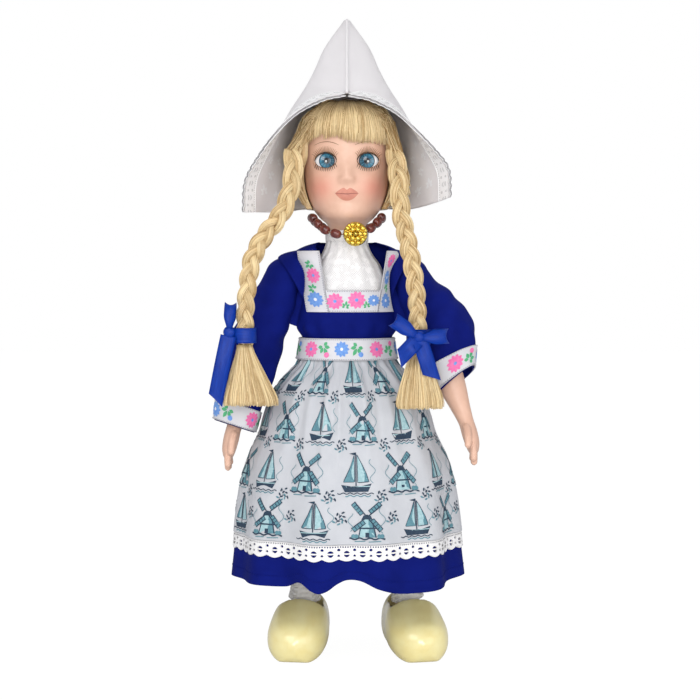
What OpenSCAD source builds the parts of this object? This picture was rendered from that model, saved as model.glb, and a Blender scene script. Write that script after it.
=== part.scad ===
// A dressed doll: bisque shoulder head, forearms and lower legs on a stuffed cloth body,
// with glass eyes, a plaited wig, a winged cap, a gathered dress, an apron and wooden clogs.
// It faces -Y and stands on the floor at z = 0. Its own right side is at -X.

/* [Fits and cloth] */
// Air between neighbouring pieces
fit_gap = 0.3; // [0.25:0.05:0.4]
// Thickness of dress, cap and apron cloth
cloth_t = 0.8; // [0.6:0.1:1]
// Thickness of ribbons and lace
ribbon_t = 0.6; // [0.5:0.1:0.7]
// Width of the woven ribbon trims
ribbon_w = 10.5; // [9:0.5:11.5]

/* [Head] */
// Chin to crown
head_h = 60; // [57:0.5:62]
// Width across the cheeks
head_w = 42; // [40:0.5:43]
// Neck axis to the face
face_d = 21.5; // [20.5:0.5:22.5]
// Neck axis to the back of the skull
skull_d = 24.5; // [23:0.5:25.5]
// Wall of the bisque
bisque_t = 2; // [1.6:0.1:2.4]
// Diameter of the neck
neck_d = 17.6; // [16.6:0.2:18.4]
// Diameter of a glass eye
eye_d = 12.4; // [12:0.1:13]
// Distance between the eye centres
eye_gap = 20.2; // [19.4:0.2:21]
// Height of the eyes above the chin
eye_rise = 29.4; // [28.4:0.2:30.4]
// How far the nose stands out
nose_d = 3.2; // [2.4:0.2:3.8]

/* [Stuffed body] */
// Hip pivot to waist
hip_rise = 32; // [30:0.5:34]
// Waist to shoulder pivot
chest_rise = 35; // [33:0.5:37]
// Shoulder pivot to chin
neck_rise = 25.6; // [25:0.2:27]
// Half width of the stuffed body at the waist
waist_half = 18.5; // [17:0.5:19]
// Half depth of the stuffed body at the waist
waist_deep = 12.8; // [12:0.2:13]
// Thickness of the body cloth
skin_t = 0.6; // [0.5:0.1:0.8]

/* [Arms] */
// Middle of the body to the shoulder pivot
shoulder_half = 31; // [30:0.5:32]
// Shoulder pivot to fingertips
arm_len = 99; // [94:1:103]
// Radius of the stuffed upper arm
arm_r = 7.4; // [6.8:0.1:7.6]
// Radius of the rounded sleeve head
sleeve_head_r = 9; // [8.6:0.1:9.4]
// Outward angle of the right arm
splay_right = 18; // [17.5:0.5:20]
// Outward angle of the left arm
splay_left = 20.5; // [18:0.5:22]
// Forward angle of the right arm
reach_right = 7; // [5:0.5:9]
// Forward angle of the left arm
reach_left = 17; // [15:0.5:18]
// Length of the right sleeve from the shoulder pivot
sleeve_right = 77; // [70:1:80]
// Length of the left sleeve from the shoulder pivot
sleeve_left = 57; // [54:1:62]
// Radius of the sleeve at the cuff
cuff_r = 10; // [9.4:0.2:10.2]
// How far the left cuff is pushed up on its outer side
cuff_tilt = 3.4; // [0:0.2:4]

/* [Legs and clogs] */
// Floor to the hip pivot
hip_height = 118; // [114:1:122]
// Middle of the body to a hip pivot
hip_half = 14; // [13.5:0.1:14.5]
// Radius of the stuffed thigh
thigh_r = 9; // [8:0.2:9.4]
// Radius of the bisque calf
calf_r = 7.4; // [6.6:0.2:7.8]
// Sideways place of the right foot
foot_right = -21; // [-24:0.5:-19]
// Sideways place of the left foot
foot_left = 30; // [27:0.5:33]
// Outward turn of the right foot
turn_right = 8; // [4:1:12]
// Outward turn of the left foot
turn_left = 12; // [8:1:16]
// Length of a clog
clog_len = 56; // [53:0.5:59]
// Width of a clog
clog_w = 29; // [28:0.5:31]
// Height of a clog at the instep
clog_h = 27.5; // [26:0.5:29]
// Wood left under the foot
sole_t = 5; // [4:0.5:6]
// Wood left at the sides of the foot
clog_wall = 3; // [2.4:0.2:3.4]
// Top of the knitted sock above the floor
sock_top = 62; // [56:1:66]

/* [Skirt and apron] */
// Waist to the hem
skirt_len = 110.5; // [106:0.5:112]
// Half width of the skirt at the hem
hem_half = 55; // [53:0.5:56]
// Half depth of the skirt at the hem
hem_deep = 48; // [46:0.5:49.5]
// Number of folds round the skirt
fold_count = 11; // [9:1:13]
// Depth of the folds at the hem
fold_d = 2.8; // [1.8:0.1:3]
// Waist to the top of the apron lace
apron_len = 89; // [84:1:92]
// Width of the apron lace
lace_w = 7.6; // [6:0.2:9]
// Width of one scallop of the apron lace as an angle about the waist
scallop = 7.5; // [6:0.5:9]

/* [Hair] */
// Thickness of the wig on the crown
hair_t = 2.6; // [2.2:0.1:3]
// Extra thickness of the wig over the ears
hair_side = 3.2; // [2.6:0.1:3.6]
// Height of the fringe edge above the chin
fringe_rise = 38.4; // [37:0.2:40]
// Diameter of one plait strand
strand_d = 2.5; // [2.2:0.1:2.6]
// Half width of the plait between strand centres
plait_half = 3.4; // [3.3:0.1:3.7]
// Half depth of the plait between strand centres
plait_deep = 2.1; // [2:0.05:2.3]
// Length of one full crossing of the three strands
plait_pitch = 26; // [25:1:29]
// Length of the loose hair under a plait
tassel_len = 28.5; // [26:0.5:31]
// Width of the bow ribbons
bow_w = 7.4; // [6.6:0.2:8.2]

/* [Cap] */
// Floor side of the arch to the tip of the cap
crown_rise = 39; // [37:0.5:41]
// Chin to the top of the arch over the brow
arch_rise = 59.6; // [58.6:0.2:60.4]
// Half span across the wings of the cap
wing_half = 48; // [47:0.5:49]
// Width of the lace along the cap rim
cap_lace_w = 6; // [5:0.5:7]

/* [Necklace] */
// Number of beads round the neck
bead_count = 16; // [15:1:17]
// Length of one bead
bead_len = 5; // [4.4:0.1:5.2]
// Diameter of one bead
bead_d = 4.5; // [4:0.1:5]
// Diameter of the necklace thread
thread_d = 0.7; // [0.6:0.1:0.9]
// Diameter of the clasp cluster
clasp_d = 11.6; // [10:0.2:12]

/* [Hidden] */
$fn = 32;
right = -1;
left = 1;
waist_z = hip_height + hip_rise;
shoulder_z = waist_z + chest_rise;
chin_z = shoulder_z + neck_rise;
crown_z = chin_z + head_h;
eye_z = chin_z + eye_rise;
neck_r = neck_d / 2;

// Value of a hand drawn profile at t; rows hold a position and a vector, joined by smooth cubics
function row_at(rows, t, i = 0) = (i >= len(rows) - 2 || t < rows[i + 1][0]) ? i : row_at(rows, t, i + 1);
function slope(rows, i) =
    let (a = max(i - 1, 0), b = min(i + 1, len(rows) - 1))
    (rows[b][1] - rows[a][1]) / (rows[b][0] - rows[a][0]);
function curve(rows, t) =
    let (i = row_at(rows, t), h = rows[i + 1][0] - rows[i][0], u = min(1, max(0, (t - rows[i][0]) / h)))
    rows[i][1] * (2 * u ^ 3 - 3 * u ^ 2 + 1) + slope(rows, i) * (h * (u ^ 3 - 2 * u ^ 2 + u))
    + rows[i + 1][1] * (3 * u ^ 2 - 2 * u ^ 3) + slope(rows, i + 1) * (h * (u ^ 3 - u ^ 2));
function unit(v) = v / norm(v);
function middle(ring) = [for (k = [0:2]) ([for (p = ring) p[k]] * [for (p = ring) 1]) / len(ring)];
function bell(x, width) = exp(-(x / width) ^ 2);
function steps(a, b, n) = [for (i = [0:n]) a + (b - a) * i / n];

// Six times the volume inside a set of triangles, used to turn them all outward
function inside(points, faces) =
    [for (f = faces) cross(points[f[0]], points[f[1]]) * points[f[2]]] * [for (f = faces) 1];

module solid(points, faces)
    polyhedron(points, inside(points, faces) < 0 ? faces : [for (f = faces) [f[2], f[1], f[0]]], 6);

// Solid through a row of rings, closed at both ends; a cup runs down outside and back up inside
module loft(rings) {
    n = len(rings[0]);
    m = len(rings);
    solid(
        concat([for (r = rings) each r], [middle(rings[0]), middle(rings[m - 1])]),
        concat(
            [for (i = [0:m - 2], j = [0:n - 1])
                let (a = i * n + j, b = i * n + (j + 1) % n) each [[a, b, b + n], [a, b + n, a + n]]],
            [for (j = [0:n - 1]) [m * n, (j + 1) % n, j]],
            [for (j = [0:n - 1]) [m * n + 1, (m - 1) * n + j, (m - 1) * n + (j + 1) % n]]));
}

// Sheet between two grids of points; wrap joins its last column to its first
module skin(outer, inner, wrap = false) {
    m = len(outer);
    n = len(outer[0]);
    k = m * n;
    last = wrap ? n - 1 : n - 2;
    solid(
        concat([for (r = outer) each r], [for (r = inner) each r]),
        concat(
            [for (i = [0:m - 2], j = [0:last])
                let (a = i * n + j, b = i * n + (j + 1) % n)
                each [[a, b, b + n], [a, b + n, a + n],
                    [a + k, b + n + k, b + k], [a + k, a + n + k, b + n + k]]],
            [for (j = [0:last])
                let (a = j, b = (j + 1) % n) each [[b, a, a + k], [b, a + k, b + k]]],
            [for (j = [0:last])
                let (a = (m - 1) * n + j, b = (m - 1) * n + (j + 1) % n)
                each [[a, b, b + k], [a, b + k, a + k]]],
            wrap ? [] : [for (i = [0:m - 2])
                let (a = i * n, c = a + n) each [[a, c, c + k], [a, c + k, a + k]]],
            wrap ? [] : [for (i = [0:m - 2])
                let (b = i * n + n - 1, d = b + n) each [[d, b, b + k], [d, b + k, d + k]]]));
}

// Grid moved along its own normals, for sheets that lie on a curved form
function clip(i, n) = min(max(i, 0), n - 1);
function lift(grid, d) =
    let (m = len(grid), n = len(grid[0]))
    [for (i = [0:m - 1]) [for (j = [0:n - 1])
        let (
            along = grid[clip(i + 1, m)][j] - grid[clip(i - 1, m)][j],
            across = grid[i][clip(j + 1, n)] - grid[i][clip(j - 1, n)])
        grid[i][j] + unit(cross(along, across)) * d]];
module sheet(grid, from, to) skin(lift(grid, to), lift(grid, from));

// Rod along a path with its own half width and half depth at each point
module rod(path, wide, deep, side, n) {
    m = len(path);
    loft([for (i = [0:m - 1])
        let (
            along = unit(path[clip(i + 1, m)] - path[clip(i - 1, m)]),
            u = unit(side - along * (side * along)),
            v = cross(along, u))
        [for (j = [0:n - 1]) path[i] + u * (wide[i] * cos(360 * j / n)) + v * (deep[i] * sin(360 * j / n))]]);
}

// Flat ribbon along a path, its width lying along one direction
module ribbon(path, across, t) {
    m = len(path);
    face = [for (i = [0:m - 1])
        unit(cross(path[clip(i + 1, m)] - path[clip(i - 1, m)], across)) * (t / 2)];
    skin(
        [for (i = [0:m - 1]) [path[i] - across / 2 + face[i], path[i] + across / 2 + face[i]]],
        [for (i = [0:m - 1]) [path[i] - across / 2 - face[i], path[i] + across / 2 - face[i]]]);
}

// Rings about the upright axis: angles run from the front, denser there by bias
function spread(n, bias) = [for (j = [0:n - 1]) 360 * j / n - bias * sin(360 * j / n) * 180 / PI];
function oval(v, a, grow, z) =
    [(v[0] + grow) * sin(a), -((cos(a) > 0 ? v[1] : v[2]) + grow) * cos(a), z];

// Shoulder plate, neck and head: half width, depth to the front, depth to the back
plate_z = shoulder_z - 12;
head_rows = [
    [plate_z, [19.6, 15.8, 15.8]],
    [plate_z + 6, [19.2, 15.6, 15.6]],
    [shoulder_z, [17.6, 14.2, 14.2]],
    [shoulder_z + 6, [15, 12, 12]],
    [shoulder_z + 11, [11.4, 10.4, 10.4]],
    [shoulder_z + 15, [neck_r + 0.8, neck_r + 0.6, neck_r + 0.6]],
    [shoulder_z + 19, [neck_r, neck_r, neck_r]],
    [chin_z - 2.4, [neck_r + 0.2, neck_r + 0.6, neck_r + 0.2]],
    [chin_z, [head_w * 0.235, face_d * 0.66, skull_d * 0.42]],
    [chin_z + head_h * 0.045, [head_w * 0.31, face_d * 0.87, skull_d * 0.56]],
    [chin_z + head_h * 0.13, [head_w * 0.4, face_d * 0.95, skull_d * 0.75]],
    [chin_z + head_h * 0.25, [head_w * 0.465, face_d * 0.985, skull_d * 0.9]],
    [chin_z + head_h * 0.37, [head_w * 0.492, face_d, skull_d * 0.97]],
    [chin_z + head_h * 0.5, [head_w * 0.5, face_d * 0.985, skull_d]],
    [chin_z + head_h * 0.64, [head_w * 0.5, face_d, skull_d]],
    [chin_z + head_h * 0.78, [head_w * 0.468, face_d * 0.95, skull_d * 0.94]],
    [chin_z + head_h * 0.89, [head_w * 0.385, face_d * 0.79, skull_d * 0.79]],
    [chin_z + head_h * 0.97, [head_w * 0.22, face_d * 0.46, skull_d * 0.46]],
    [crown_z, [head_w * 0.08, face_d * 0.17, skull_d * 0.17]]];
rim_z = chin_z + head_h * 0.88;

// Relief of the face: nose, lips, chin, cheeks and the hollows of the eyes
function relief(x, z) =
    let (h = z - chin_z, up = h - head_h * 0.355)
    nose_d * bell(x, 2.7) * bell(up, up > 0 ? 7 : 2.8)
    + 0.9 * bell(x, 4.6) * bell(h - head_h * 0.222, 2.3)
    + 0.9 * bell(x, 6) * bell(h - head_h * 0.07, 3.4)
    + 0.7 * bell(abs(x) - 12, 5) * bell(h - head_h * 0.28, 6)
    - 2.2 * bell(abs(x) - eye_gap / 2, 5) * bell(z - eye_z, 4.6);
function face_point(z, a, grow) =
    let (p = oval(curve(head_rows, z), a, grow, z)) p - [0, cos(a) > 0 ? relief(p[0], z) : 0, 0];

eye_y = -(face_d - 3.1 - eye_d / 2);
head_sides = spread(26, 0.55);
face_levels = concat(
    [plate_z, plate_z + 6, shoulder_z, shoulder_z + 6, shoulder_z + 11, shoulder_z + 15, shoulder_z + 19],
    [chin_z - 2.4],
    steps(chin_z, rim_z, 16));
inner_levels = [rim_z, chin_z + 44, chin_z + 34, chin_z + 22, chin_z + 12, chin_z + 5,
    chin_z - 1, shoulder_z + 18, shoulder_z + 11, shoulder_z + 4, plate_z];

module shoulder_head() {
    color([0.96, 0.8, 0.7])
    difference() {
        loft_loop(concat(
            [for (z = face_levels) [for (a = head_sides) face_point(z, a, 0)]],
            [for (z = inner_levels) [for (a = head_sides) oval(curve(head_rows, z), a, -bisque_t, z)]]));
        for (s = [right, left]) translate([s * eye_gap / 2, eye_y, eye_z]) sphere(d = eye_d + 2 * fit_gap);
    }
}

// Rings joined in a loop, the last to the first, for a hollow open at both ends
module loft_loop(rings) {
    n = len(rings[0]);
    m = len(rings);
    solid(
        [for (r = rings) each r],
        [for (i = [0:m - 1], j = [0:n - 1])
            let (k = ((i + 1) % m) * n, a = i * n + j, b = i * n + (j + 1) % n, c = k + j, d = k + (j + 1) % n)
            each [[a, b, d], [a, d, c]]]);
}

module eye(s) color([0.2, 0.4, 0.75]) translate([s * eye_gap / 2, eye_y, eye_z]) sphere(d = eye_d);
module eye_right() eye(right);
module eye_left() eye(left);

// Plaster pads that hold the eyes from behind
setting_t = 1.2;
module eye_setting() {
    color([0.95, 0.93, 0.88])
    for (s = [right, left]) translate([s * eye_gap / 2, eye_y, eye_z])
        intersection() {
            difference() {
                sphere(d = eye_d + 2 * setting_t + 0.2);
                sphere(d = eye_d + 0.2);
            }
            rotate([-90, 0, 0]) cylinder(r = eye_d * 0.42, h = eye_d);
        }
}

// Dome of pressed card that closes the open crown
module crown_pate() {
    levels = steps(rim_z + 0.2, crown_z, 3);
    color([0.7, 0.55, 0.4])
    loft(concat(
        [for (i = [len(levels) - 1:-1:0])
            [for (a = head_sides) oval(curve(head_rows, levels[i]), a, 0, levels[i])]],
        [for (z = levels) [for (a = head_sides)
            oval(curve(head_rows, z), a, -1.2, z - 1.2 * (z - rim_z) / (crown_z - rim_z))]]));
}

// Wig from temple to temple round the back, thicker over the ears
hair_levels = [chin_z + 7, chin_z + 15, chin_z + 24, chin_z + 33, chin_z + 42, chin_z + 50, chin_z + 55,
    crown_z - 1.2];
wig_air = fit_gap + 0.5;
function hair_out(z, a) = hair_t + hair_side * bell(z - chin_z - 24, 14) * abs(sin(a));
function hair_edge(z) = 76 - 18 / (1 + exp(-(z - chin_z - 28) * 0.6));
module hair_cap() {
    color([0.9, 0.75, 0.45])
    skin(
        [for (z = hair_levels) [for (a = steps(hair_edge(z), 360 - hair_edge(z), 16))
            oval(curve(head_rows, z), a, fit_gap + hair_out(z, a), z + (z > crown_z - 2 ? hair_t : 0))]],
        [for (z = hair_levels) [for (a = steps(hair_edge(z), 360 - hair_edge(z), 16))
            oval(curve(head_rows, z), a, wig_air, z + (z > crown_z - 2 ? 1.1 : 0))]]);
}

module fringe() {
    levels = concat(steps(chin_z + fringe_rise, chin_z + 50, 3), [chin_z + 55]);
    color([0.92, 0.78, 0.48])
    skin(
        [for (z = levels) [for (a = steps(-56, 56, 12)) oval(curve(head_rows, z), a, fit_gap + hair_t, z)]],
        [for (z = levels) [for (a = steps(-56, 56, 12)) oval(curve(head_rows, z), a, wig_air, z)]]);
}

// Cap: each row holds the rim at the front, the side, the quarter and the back of one level
arch_z = chin_z + arch_rise;
seam_half = 0.35;
cap_rows = [
    [0, [[wing_half, -22, chin_z + 6], [31, 3, chin_z + 6], [22, 23, chin_z + 8], [0, 31, chin_z + 9]]],
    [1, [[wing_half - 1, -24, chin_z + 20], [32, 0, chin_z + 21], [23, 21.5, chin_z + 23],
        [0, 29.7, chin_z + 24]]],
    [2, [[wing_half - 6.5, -25, chin_z + 31], [32, -2, chin_z + 33], [23, 20.5, chin_z + 34],
        [0, 29, chin_z + 35]]],
    [3, [[33.5, -26, arch_z - 17.5], [31.5, -5, arch_z - 16], [22, 19.5, arch_z - 15], [0, 28.3, arch_z - 15]]],
    [4, [[24, -27, arch_z - 8], [27, -6, arch_z - 5], [19.5, 17.5, arch_z - 4], [0, 26, arch_z - 4]]],
    [5, [[12, -27.5, arch_z - 1.6], [22, -6, arch_z + 3], [15.5, 15, arch_z + 4], [0, 23, arch_z + 4]]],
    [6, [[seam_half, -27, arch_z + 2], [18.5, -6, arch_z + 8], [13, 12, arch_z + 9], [0, 19.4, arch_z + 9]]],
    [7, [[seam_half, -19, arch_z + 13], [15, -3, arch_z + 15.5], [10.5, 9.5, arch_z + 16],
        [0, 16, arch_z + 16]]],
    [8, [[seam_half, -10.5, arch_z + 25], [10.5, 0, arch_z + 26], [7.5, 7.5, arch_z + 26],
        [0, 11, arch_z + 26]]],
    [9, [[seam_half, -2, arch_z + crown_rise], [1.6, 1.6, arch_z + crown_rise],
        [1.2, 3.4, arch_z + crown_rise], [0, 4.4, arch_z + crown_rise]]]];
function mirrored(p) = [-p[0], p[1], p[2]];
function cap_point(t, s) =
    let (r = curve(cap_rows, t))
    curve([[-1, mirrored(r[0])], [-0.6, mirrored(r[1])], [-0.28, mirrored(r[2])], [0, r[3]],
        [0.28, r[2]], [0.6, r[1]], [1, r[0]]], s);
cap_levels = [0, 0.9, 1.8, 2.6, 3.4, 4.2, 5, 5.5, 6, 6.8, 7.6, 8.4, 9];
module cap_body() {
    color([0.96, 0.96, 0.97])
    sheet([for (t = cap_levels) [for (s = steps(-1, 1, 20)) cap_point(t, s)]], 0, -cloth_t);
}

// Lace sewn on the cap along its rim, from wing to wing under the arch
lace_air = fit_gap + 0.1;
module cap_lace() {
    color([0.98, 0.98, 0.98])
    for (side = [right, left])
        sheet([for (t = steps(0, 5.7, 14)) [for (u = [0, 1])
            let (edge = cap_point(t, side), d = cap_point(t, side * 0.9) - edge)
            edge + unit(d) * (cap_lace_w * u)]], -side * lace_air, -side * (lace_air + ribbon_t));
}

// Stuffed body under the dress
body_z = hip_height + thigh_r + 0.5;
body_rows = [
    [body_z, [12, 8.5, 8.5]],
    [body_z + 1.6, [17.5, 12.5, 12.5]],
    [body_z + 8, [waist_half + 2.4, waist_deep + 2.4, waist_deep + 2.4]],
    [waist_z, [waist_half + 0.4, waist_deep, waist_deep]],
    [waist_z + 11, [waist_half - 0.4, waist_deep - 0.2, waist_deep - 0.2]],
    [plate_z, [16.6, 12.6, 12.6]],
    [plate_z + 6, [15.4, 11.9, 11.9]],
    [shoulder_z, [13.8, 10.6, 10.6]],
    [shoulder_z + 5, [10.8, 8.2, 8.2]],
    [shoulder_z + 9, [6.2, 5.2, 5.2]]];
body_levels = [body_z, body_z + 1.6, body_z + 4.5, body_z + 8, waist_z, waist_z + 11, plate_z, plate_z + 6,
    shoulder_z, shoulder_z + 5, shoulder_z + 9];
body_sides = spread(16, 0);
module cloth_body() {
    inner = [for (i = [len(body_levels) - 1:-1:1]) body_levels[i]];
    color([0.85, 0.78, 0.66])
    loft(concat(
        [for (z = body_levels) [for (a = body_sides) oval(curve(body_rows, z), a, 0, z)]],
        [for (z = inner)
            [for (a = body_sides) oval(curve(body_rows, z), a, -skin_t, max(z, body_z + skin_t))]],
        [[for (a = body_sides) oval(curve(body_rows, body_z), a, -skin_t, body_z + skin_t)]]));
}
module body_filling() {
    levels = [for (z = body_levels) if (z > body_z) z];
    color([0.93, 0.92, 0.88])
    loft([for (z = levels) [for (a = body_sides) oval(curve(body_rows, z), a, -skin_t - 0.2, z)]]);
}

// Dress: bodice with a wide square neck that ends in a roof over each sleeve head
side_half = shoulder_half - sleeve_head_r - fit_gap - 0.2;
bodice_z = waist_z + 0.4;
bodice_rows = [
    [bodice_z, [waist_half + 3.2, waist_deep + 2, waist_deep + 2]],
    [waist_z + 10, [waist_half + 2.6, waist_deep + 3, waist_deep + 2]],
    [waist_z + 20, [21.2, 17.8, 17.2]],
    [plate_z + 6, [side_half - 0.2, 18.3, 17.6]],
    [shoulder_z, [side_half - 0.2, 17.8, 17.2]],
    [shoulder_z + 3, [side_half + 0.4, 17, 16.6]],
    [shoulder_z + 6, [side_half + 2, 16.2, 16]],
    [shoulder_z + 8.4, [side_half + 4.2, 15.4, 15]],
    [shoulder_z + 10, [side_half + 5.4, 14.6, 14.2]],
    [shoulder_z + 12.4, [side_half + 4.6, 13.6, 13.4]],
    [shoulder_z + 15, [side_half - 1.4, 12.6, 12.6]],
    [shoulder_z + 16.6, [14.4, 12.2, 12.2]]];
bodice_levels = [bodice_z, waist_z + 10, waist_z + 20, plate_z + 6, shoulder_z, shoulder_z + 3,
    shoulder_z + 6, shoulder_z + 8.4, shoulder_z + 10, shoulder_z + 12.4, shoulder_z + 15, shoulder_z + 16.6];
bodice_sides = spread(28, 0.15);
neck_mid = 3;
neck_low = plate_z + 5.4;
neck_top = shoulder_z + 15;
neck_half_low = 13;
neck_half_top = 16.5;
module bodice() {
    color([0.1, 0.1, 0.58])
    difference() {
        skin(
            [for (z = bodice_levels) [for (a = bodice_sides) oval(curve(bodice_rows, z), a, 0, z)]],
            [for (z = bodice_levels) [for (a = bodice_sides) oval(curve(bodice_rows, z), a, -cloth_t, z)]],
            true);
        translate([neck_mid, 0, 0]) rotate([90, 0, 0]) linear_extrude(40) polygon([
            [-neck_half_low - 3, neck_low - 3], [neck_half_low + 3, neck_low - 3],
            [neck_half_top + 3, neck_top + 9], [-neck_half_top - 3, neck_top + 9]]);
    }
}

// Pleated lace front that fills the square neck, laid on the shoulder plate
module dickey() {
    levels = [plate_z + 1, plate_z + 6, shoulder_z, shoulder_z + 5, shoulder_z + 9, shoulder_z + 13];
    color([0.95, 0.94, 0.93])
    skin(
        [for (z = levels) [for (a = steps(-66, 66, 12)) oval(curve(head_rows, z), a, fit_gap + ribbon_t, z)]],
        [for (z = levels) [for (a = steps(-66, 66, 12)) oval(curve(head_rows, z), a, fit_gap, z)]]);
}

// Ribbon frame of the neck: two slanting strips and one level strip on the bodice
function on_bodice(x, z) =
    let (v = curve(bodice_rows, z), u = min(max(x / v[0], -0.94), 0.94))
    [u * v[0], -v[1] * sqrt(1 - u * u), z];
function neck_half(z) =
    neck_half_low + (neck_half_top - neck_half_low) * (z - neck_low) / (neck_top - neck_low);
function trim_end(s, z) = min(neck_half(z) + ribbon_w, curve(bodice_rows, z)[0] * 0.93 - s * neck_mid);
module neck_trim() {
    levels = steps(neck_low - ribbon_w, shoulder_z + 12.4, 10);
    color([0.95, 0.94, 0.95]) {
        for (s = [right, left])
            sheet([for (z = levels) [for (u = steps(0, 1, 3))
                on_bodice(neck_mid + s * (neck_half(z) * (1 - u) + trim_end(s, z) * u), z)]],
                -s * fit_gap, -s * (fit_gap + ribbon_t));
        sheet([for (z = steps(neck_low - ribbon_w, neck_low, 3)) [for (u = steps(-1, 1, 12))
            on_bodice(neck_mid + u * (neck_half(z) - 0.2), z)]], -fit_gap, -fit_gap - ribbon_t);
    }
}

// Standing lace band round the neck
module neck_band() {
    color([0.97, 0.97, 0.96])
    translate([0, 0, shoulder_z + 16.9]) rotate_extrude() polygon([
        [neck_r + 1, 0], [neck_r + 1 + ribbon_t, 0], [neck_r + 0.7 + ribbon_t, 5.4], [neck_r + 0.7, 5.4]]);
}

// Necklace: beads threaded on a cord that hangs lower in front
bead_rows = [
    [-25, [-7.5, -19.4, shoulder_z + 20.8]],
    [0, [0, -20.4, shoulder_z + 20]],
    [25, [7.5, -19.4, shoulder_z + 20.8]],
    [50, [12.6, -15, shoulder_z + 24]],
    [80, [16.6, -7, shoulder_z + 28.4]],
    [110, [16.4, 2, shoulder_z + 27.6]],
    [140, [11.4, 9.4, shoulder_z + 24]],
    [180, [0, 13, shoulder_z + 22]],
    [220, [-11.4, 9.4, shoulder_z + 24]]];
function on_neck(a) = let (p = curve(bead_rows, a > 180 ? 360 - a : a)) a > 180 ? mirrored(p) : p;
cord_turns = steps(0, 350, 35);
function cord_len(i) =
    i == 0 ? 0 : cord_len(i - 1) + norm(on_neck(cord_turns[i]) - on_neck(cord_turns[i - 1]));
function turn_for(d, i = 0) =
    (i >= len(cord_turns) - 2 || cord_len(i + 1) > d)
    ? cord_turns[i] + 10 * (d - cord_len(i)) / (cord_len(i + 1) - cord_len(i)) : turn_for(d, i + 1);
round_len = cord_len(len(cord_turns) - 1) + norm(on_neck(0) - on_neck(350));
module necklace_cord() {
    color([0.4, 0.25, 0.15])
    loft_loop([for (a = cord_turns)
        let (
            along = unit(on_neck(a + 2) - on_neck(a > 1 ? a - 2 : 358)),
            u = unit(cross(along, [0, 0, 1])),
            v = cross(along, u))
        [for (j = [0:3]) on_neck(a) + (u * cos(90 * j) + v * sin(90 * j)) * (thread_d / 2)]]);
}
hole_r = thread_d / 2 + 0.75;
module bead() {
    rotate_extrude() polygon([
        [hole_r, -bead_len / 2], [bead_d * 0.33, -bead_len / 2],
        [bead_d * 0.46, -bead_len * 0.3], [bead_d / 2, 0], [bead_d * 0.46, bead_len * 0.3],
        [bead_d * 0.33, bead_len / 2], [hole_r, bead_len / 2]]);
}
clasp_turn = 13;
clasp_run = cord_len(1) + (clasp_turn / 10 - 1) * (cord_len(2) - cord_len(1));
bead_air = 1;
bead_first = clasp_run + clasp_d / 2 + bead_len / 2 + bead_air;
bead_step = (round_len - clasp_d - bead_len - 2 * bead_air) / (bead_count - 1);
module necklace_beads() {
    color([0.4, 0.1, 0.08])
    for (i = [0:bead_count - 1]) {
        a = turn_for(bead_first + i * bead_step);
        along = on_neck(min(a + 2, 359.9)) - on_neck(max(a - 2, 0));
        translate(on_neck(a)) rotate([0, acos(along[2] / norm(along)), atan2(along[1], along[0])]) bead();
    }
}
module necklace_clasp() {
    p = on_neck(clasp_turn) + [0, -thread_d / 2 - 0.9, 0];
    color([0.85, 0.65, 0.3])
    translate(p) rotate([90, 0, 0]) {
        translate([0, 0, -0.4]) cylinder(d = clasp_d, h = 1.2);
        translate([0, 0, 1.1]) sphere(d = clasp_d * 0.3);
        for (k = [0:6]) rotate(k * 360 / 7) translate([clasp_d * 0.32, 0, 0.9]) sphere(d = clasp_d * 0.22);
    }
}

// Skirt: half width and half depth at each level, with folds that deepen towards the hem
flare = [
    [0, [waist_half + 2.4, waist_deep + 1.6]],
    [0.055, [waist_half + 3.6, waist_deep + 2.8]],
    [0.095, [waist_half + 7.4, waist_deep + 6.4]],
    [0.145, [31, 24.2]],
    [0.2, [35.4, 28.4]],
    [0.29, [39, 32.6]],
    [0.37, [41.4, 35.6]],
    [0.455, [hem_half * 0.83, hem_deep * 0.805]],
    [0.535, [hem_half * 0.885, hem_deep * 0.865]],
    [0.635, [hem_half * 0.93, hem_deep * 0.92]],
    [0.77, [hem_half * 0.962, hem_deep * 0.96]],
    [0.9, [hem_half * 0.982, hem_deep * 0.985]],
    [1, [hem_half, hem_deep]]];
skirt_sides = 4 * fold_count;
function ripple(a) = 0.7 * cos(fold_count * a + 180) + 0.3 * cos((fold_count - 4) * a + 70);
function fold(a, t) = (0.45 * sin(180 * min(t / 0.2, 1)) + fold_d * t ^ 1.4) * ripple(a);
function hem_wave(a) = 1.2 - 1.8 * ripple(a);
function on_skirt(t, a, grow) =
    let (v = curve(flare, t), g = grow + fold(a, t), z = waist_z - 0.2 - t * (skirt_len - 0.2))
    [(v[0] + g) * sin(a), -(v[1] + g) * cos(a), z + (t > 0.99 ? hem_wave(a) : 0)];
apron_end = (apron_len - 0.2) / (skirt_len - 0.2);
lace_end = (apron_len + lace_w - 0.2) / (skirt_len - 0.2);
skirt_levels = [0, 0.055, 0.095, 0.145, 0.2, 0.29, 0.4, 0.535, 0.67, apron_end, lace_end, 1];
apron_levels = [for (t = skirt_levels) if (t <= apron_end) t];
module skirt() {
    turns = [for (j = [0:skirt_sides - 1]) 360 * j / skirt_sides];
    color([0.1, 0.1, 0.58])
    skin(
        [for (t = skirt_levels) [for (a = turns) on_skirt(t, a, cloth_t)]],
        [for (t = skirt_levels) [for (a = turns) on_skirt(t, a, 0)]],
        true);
}

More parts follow.
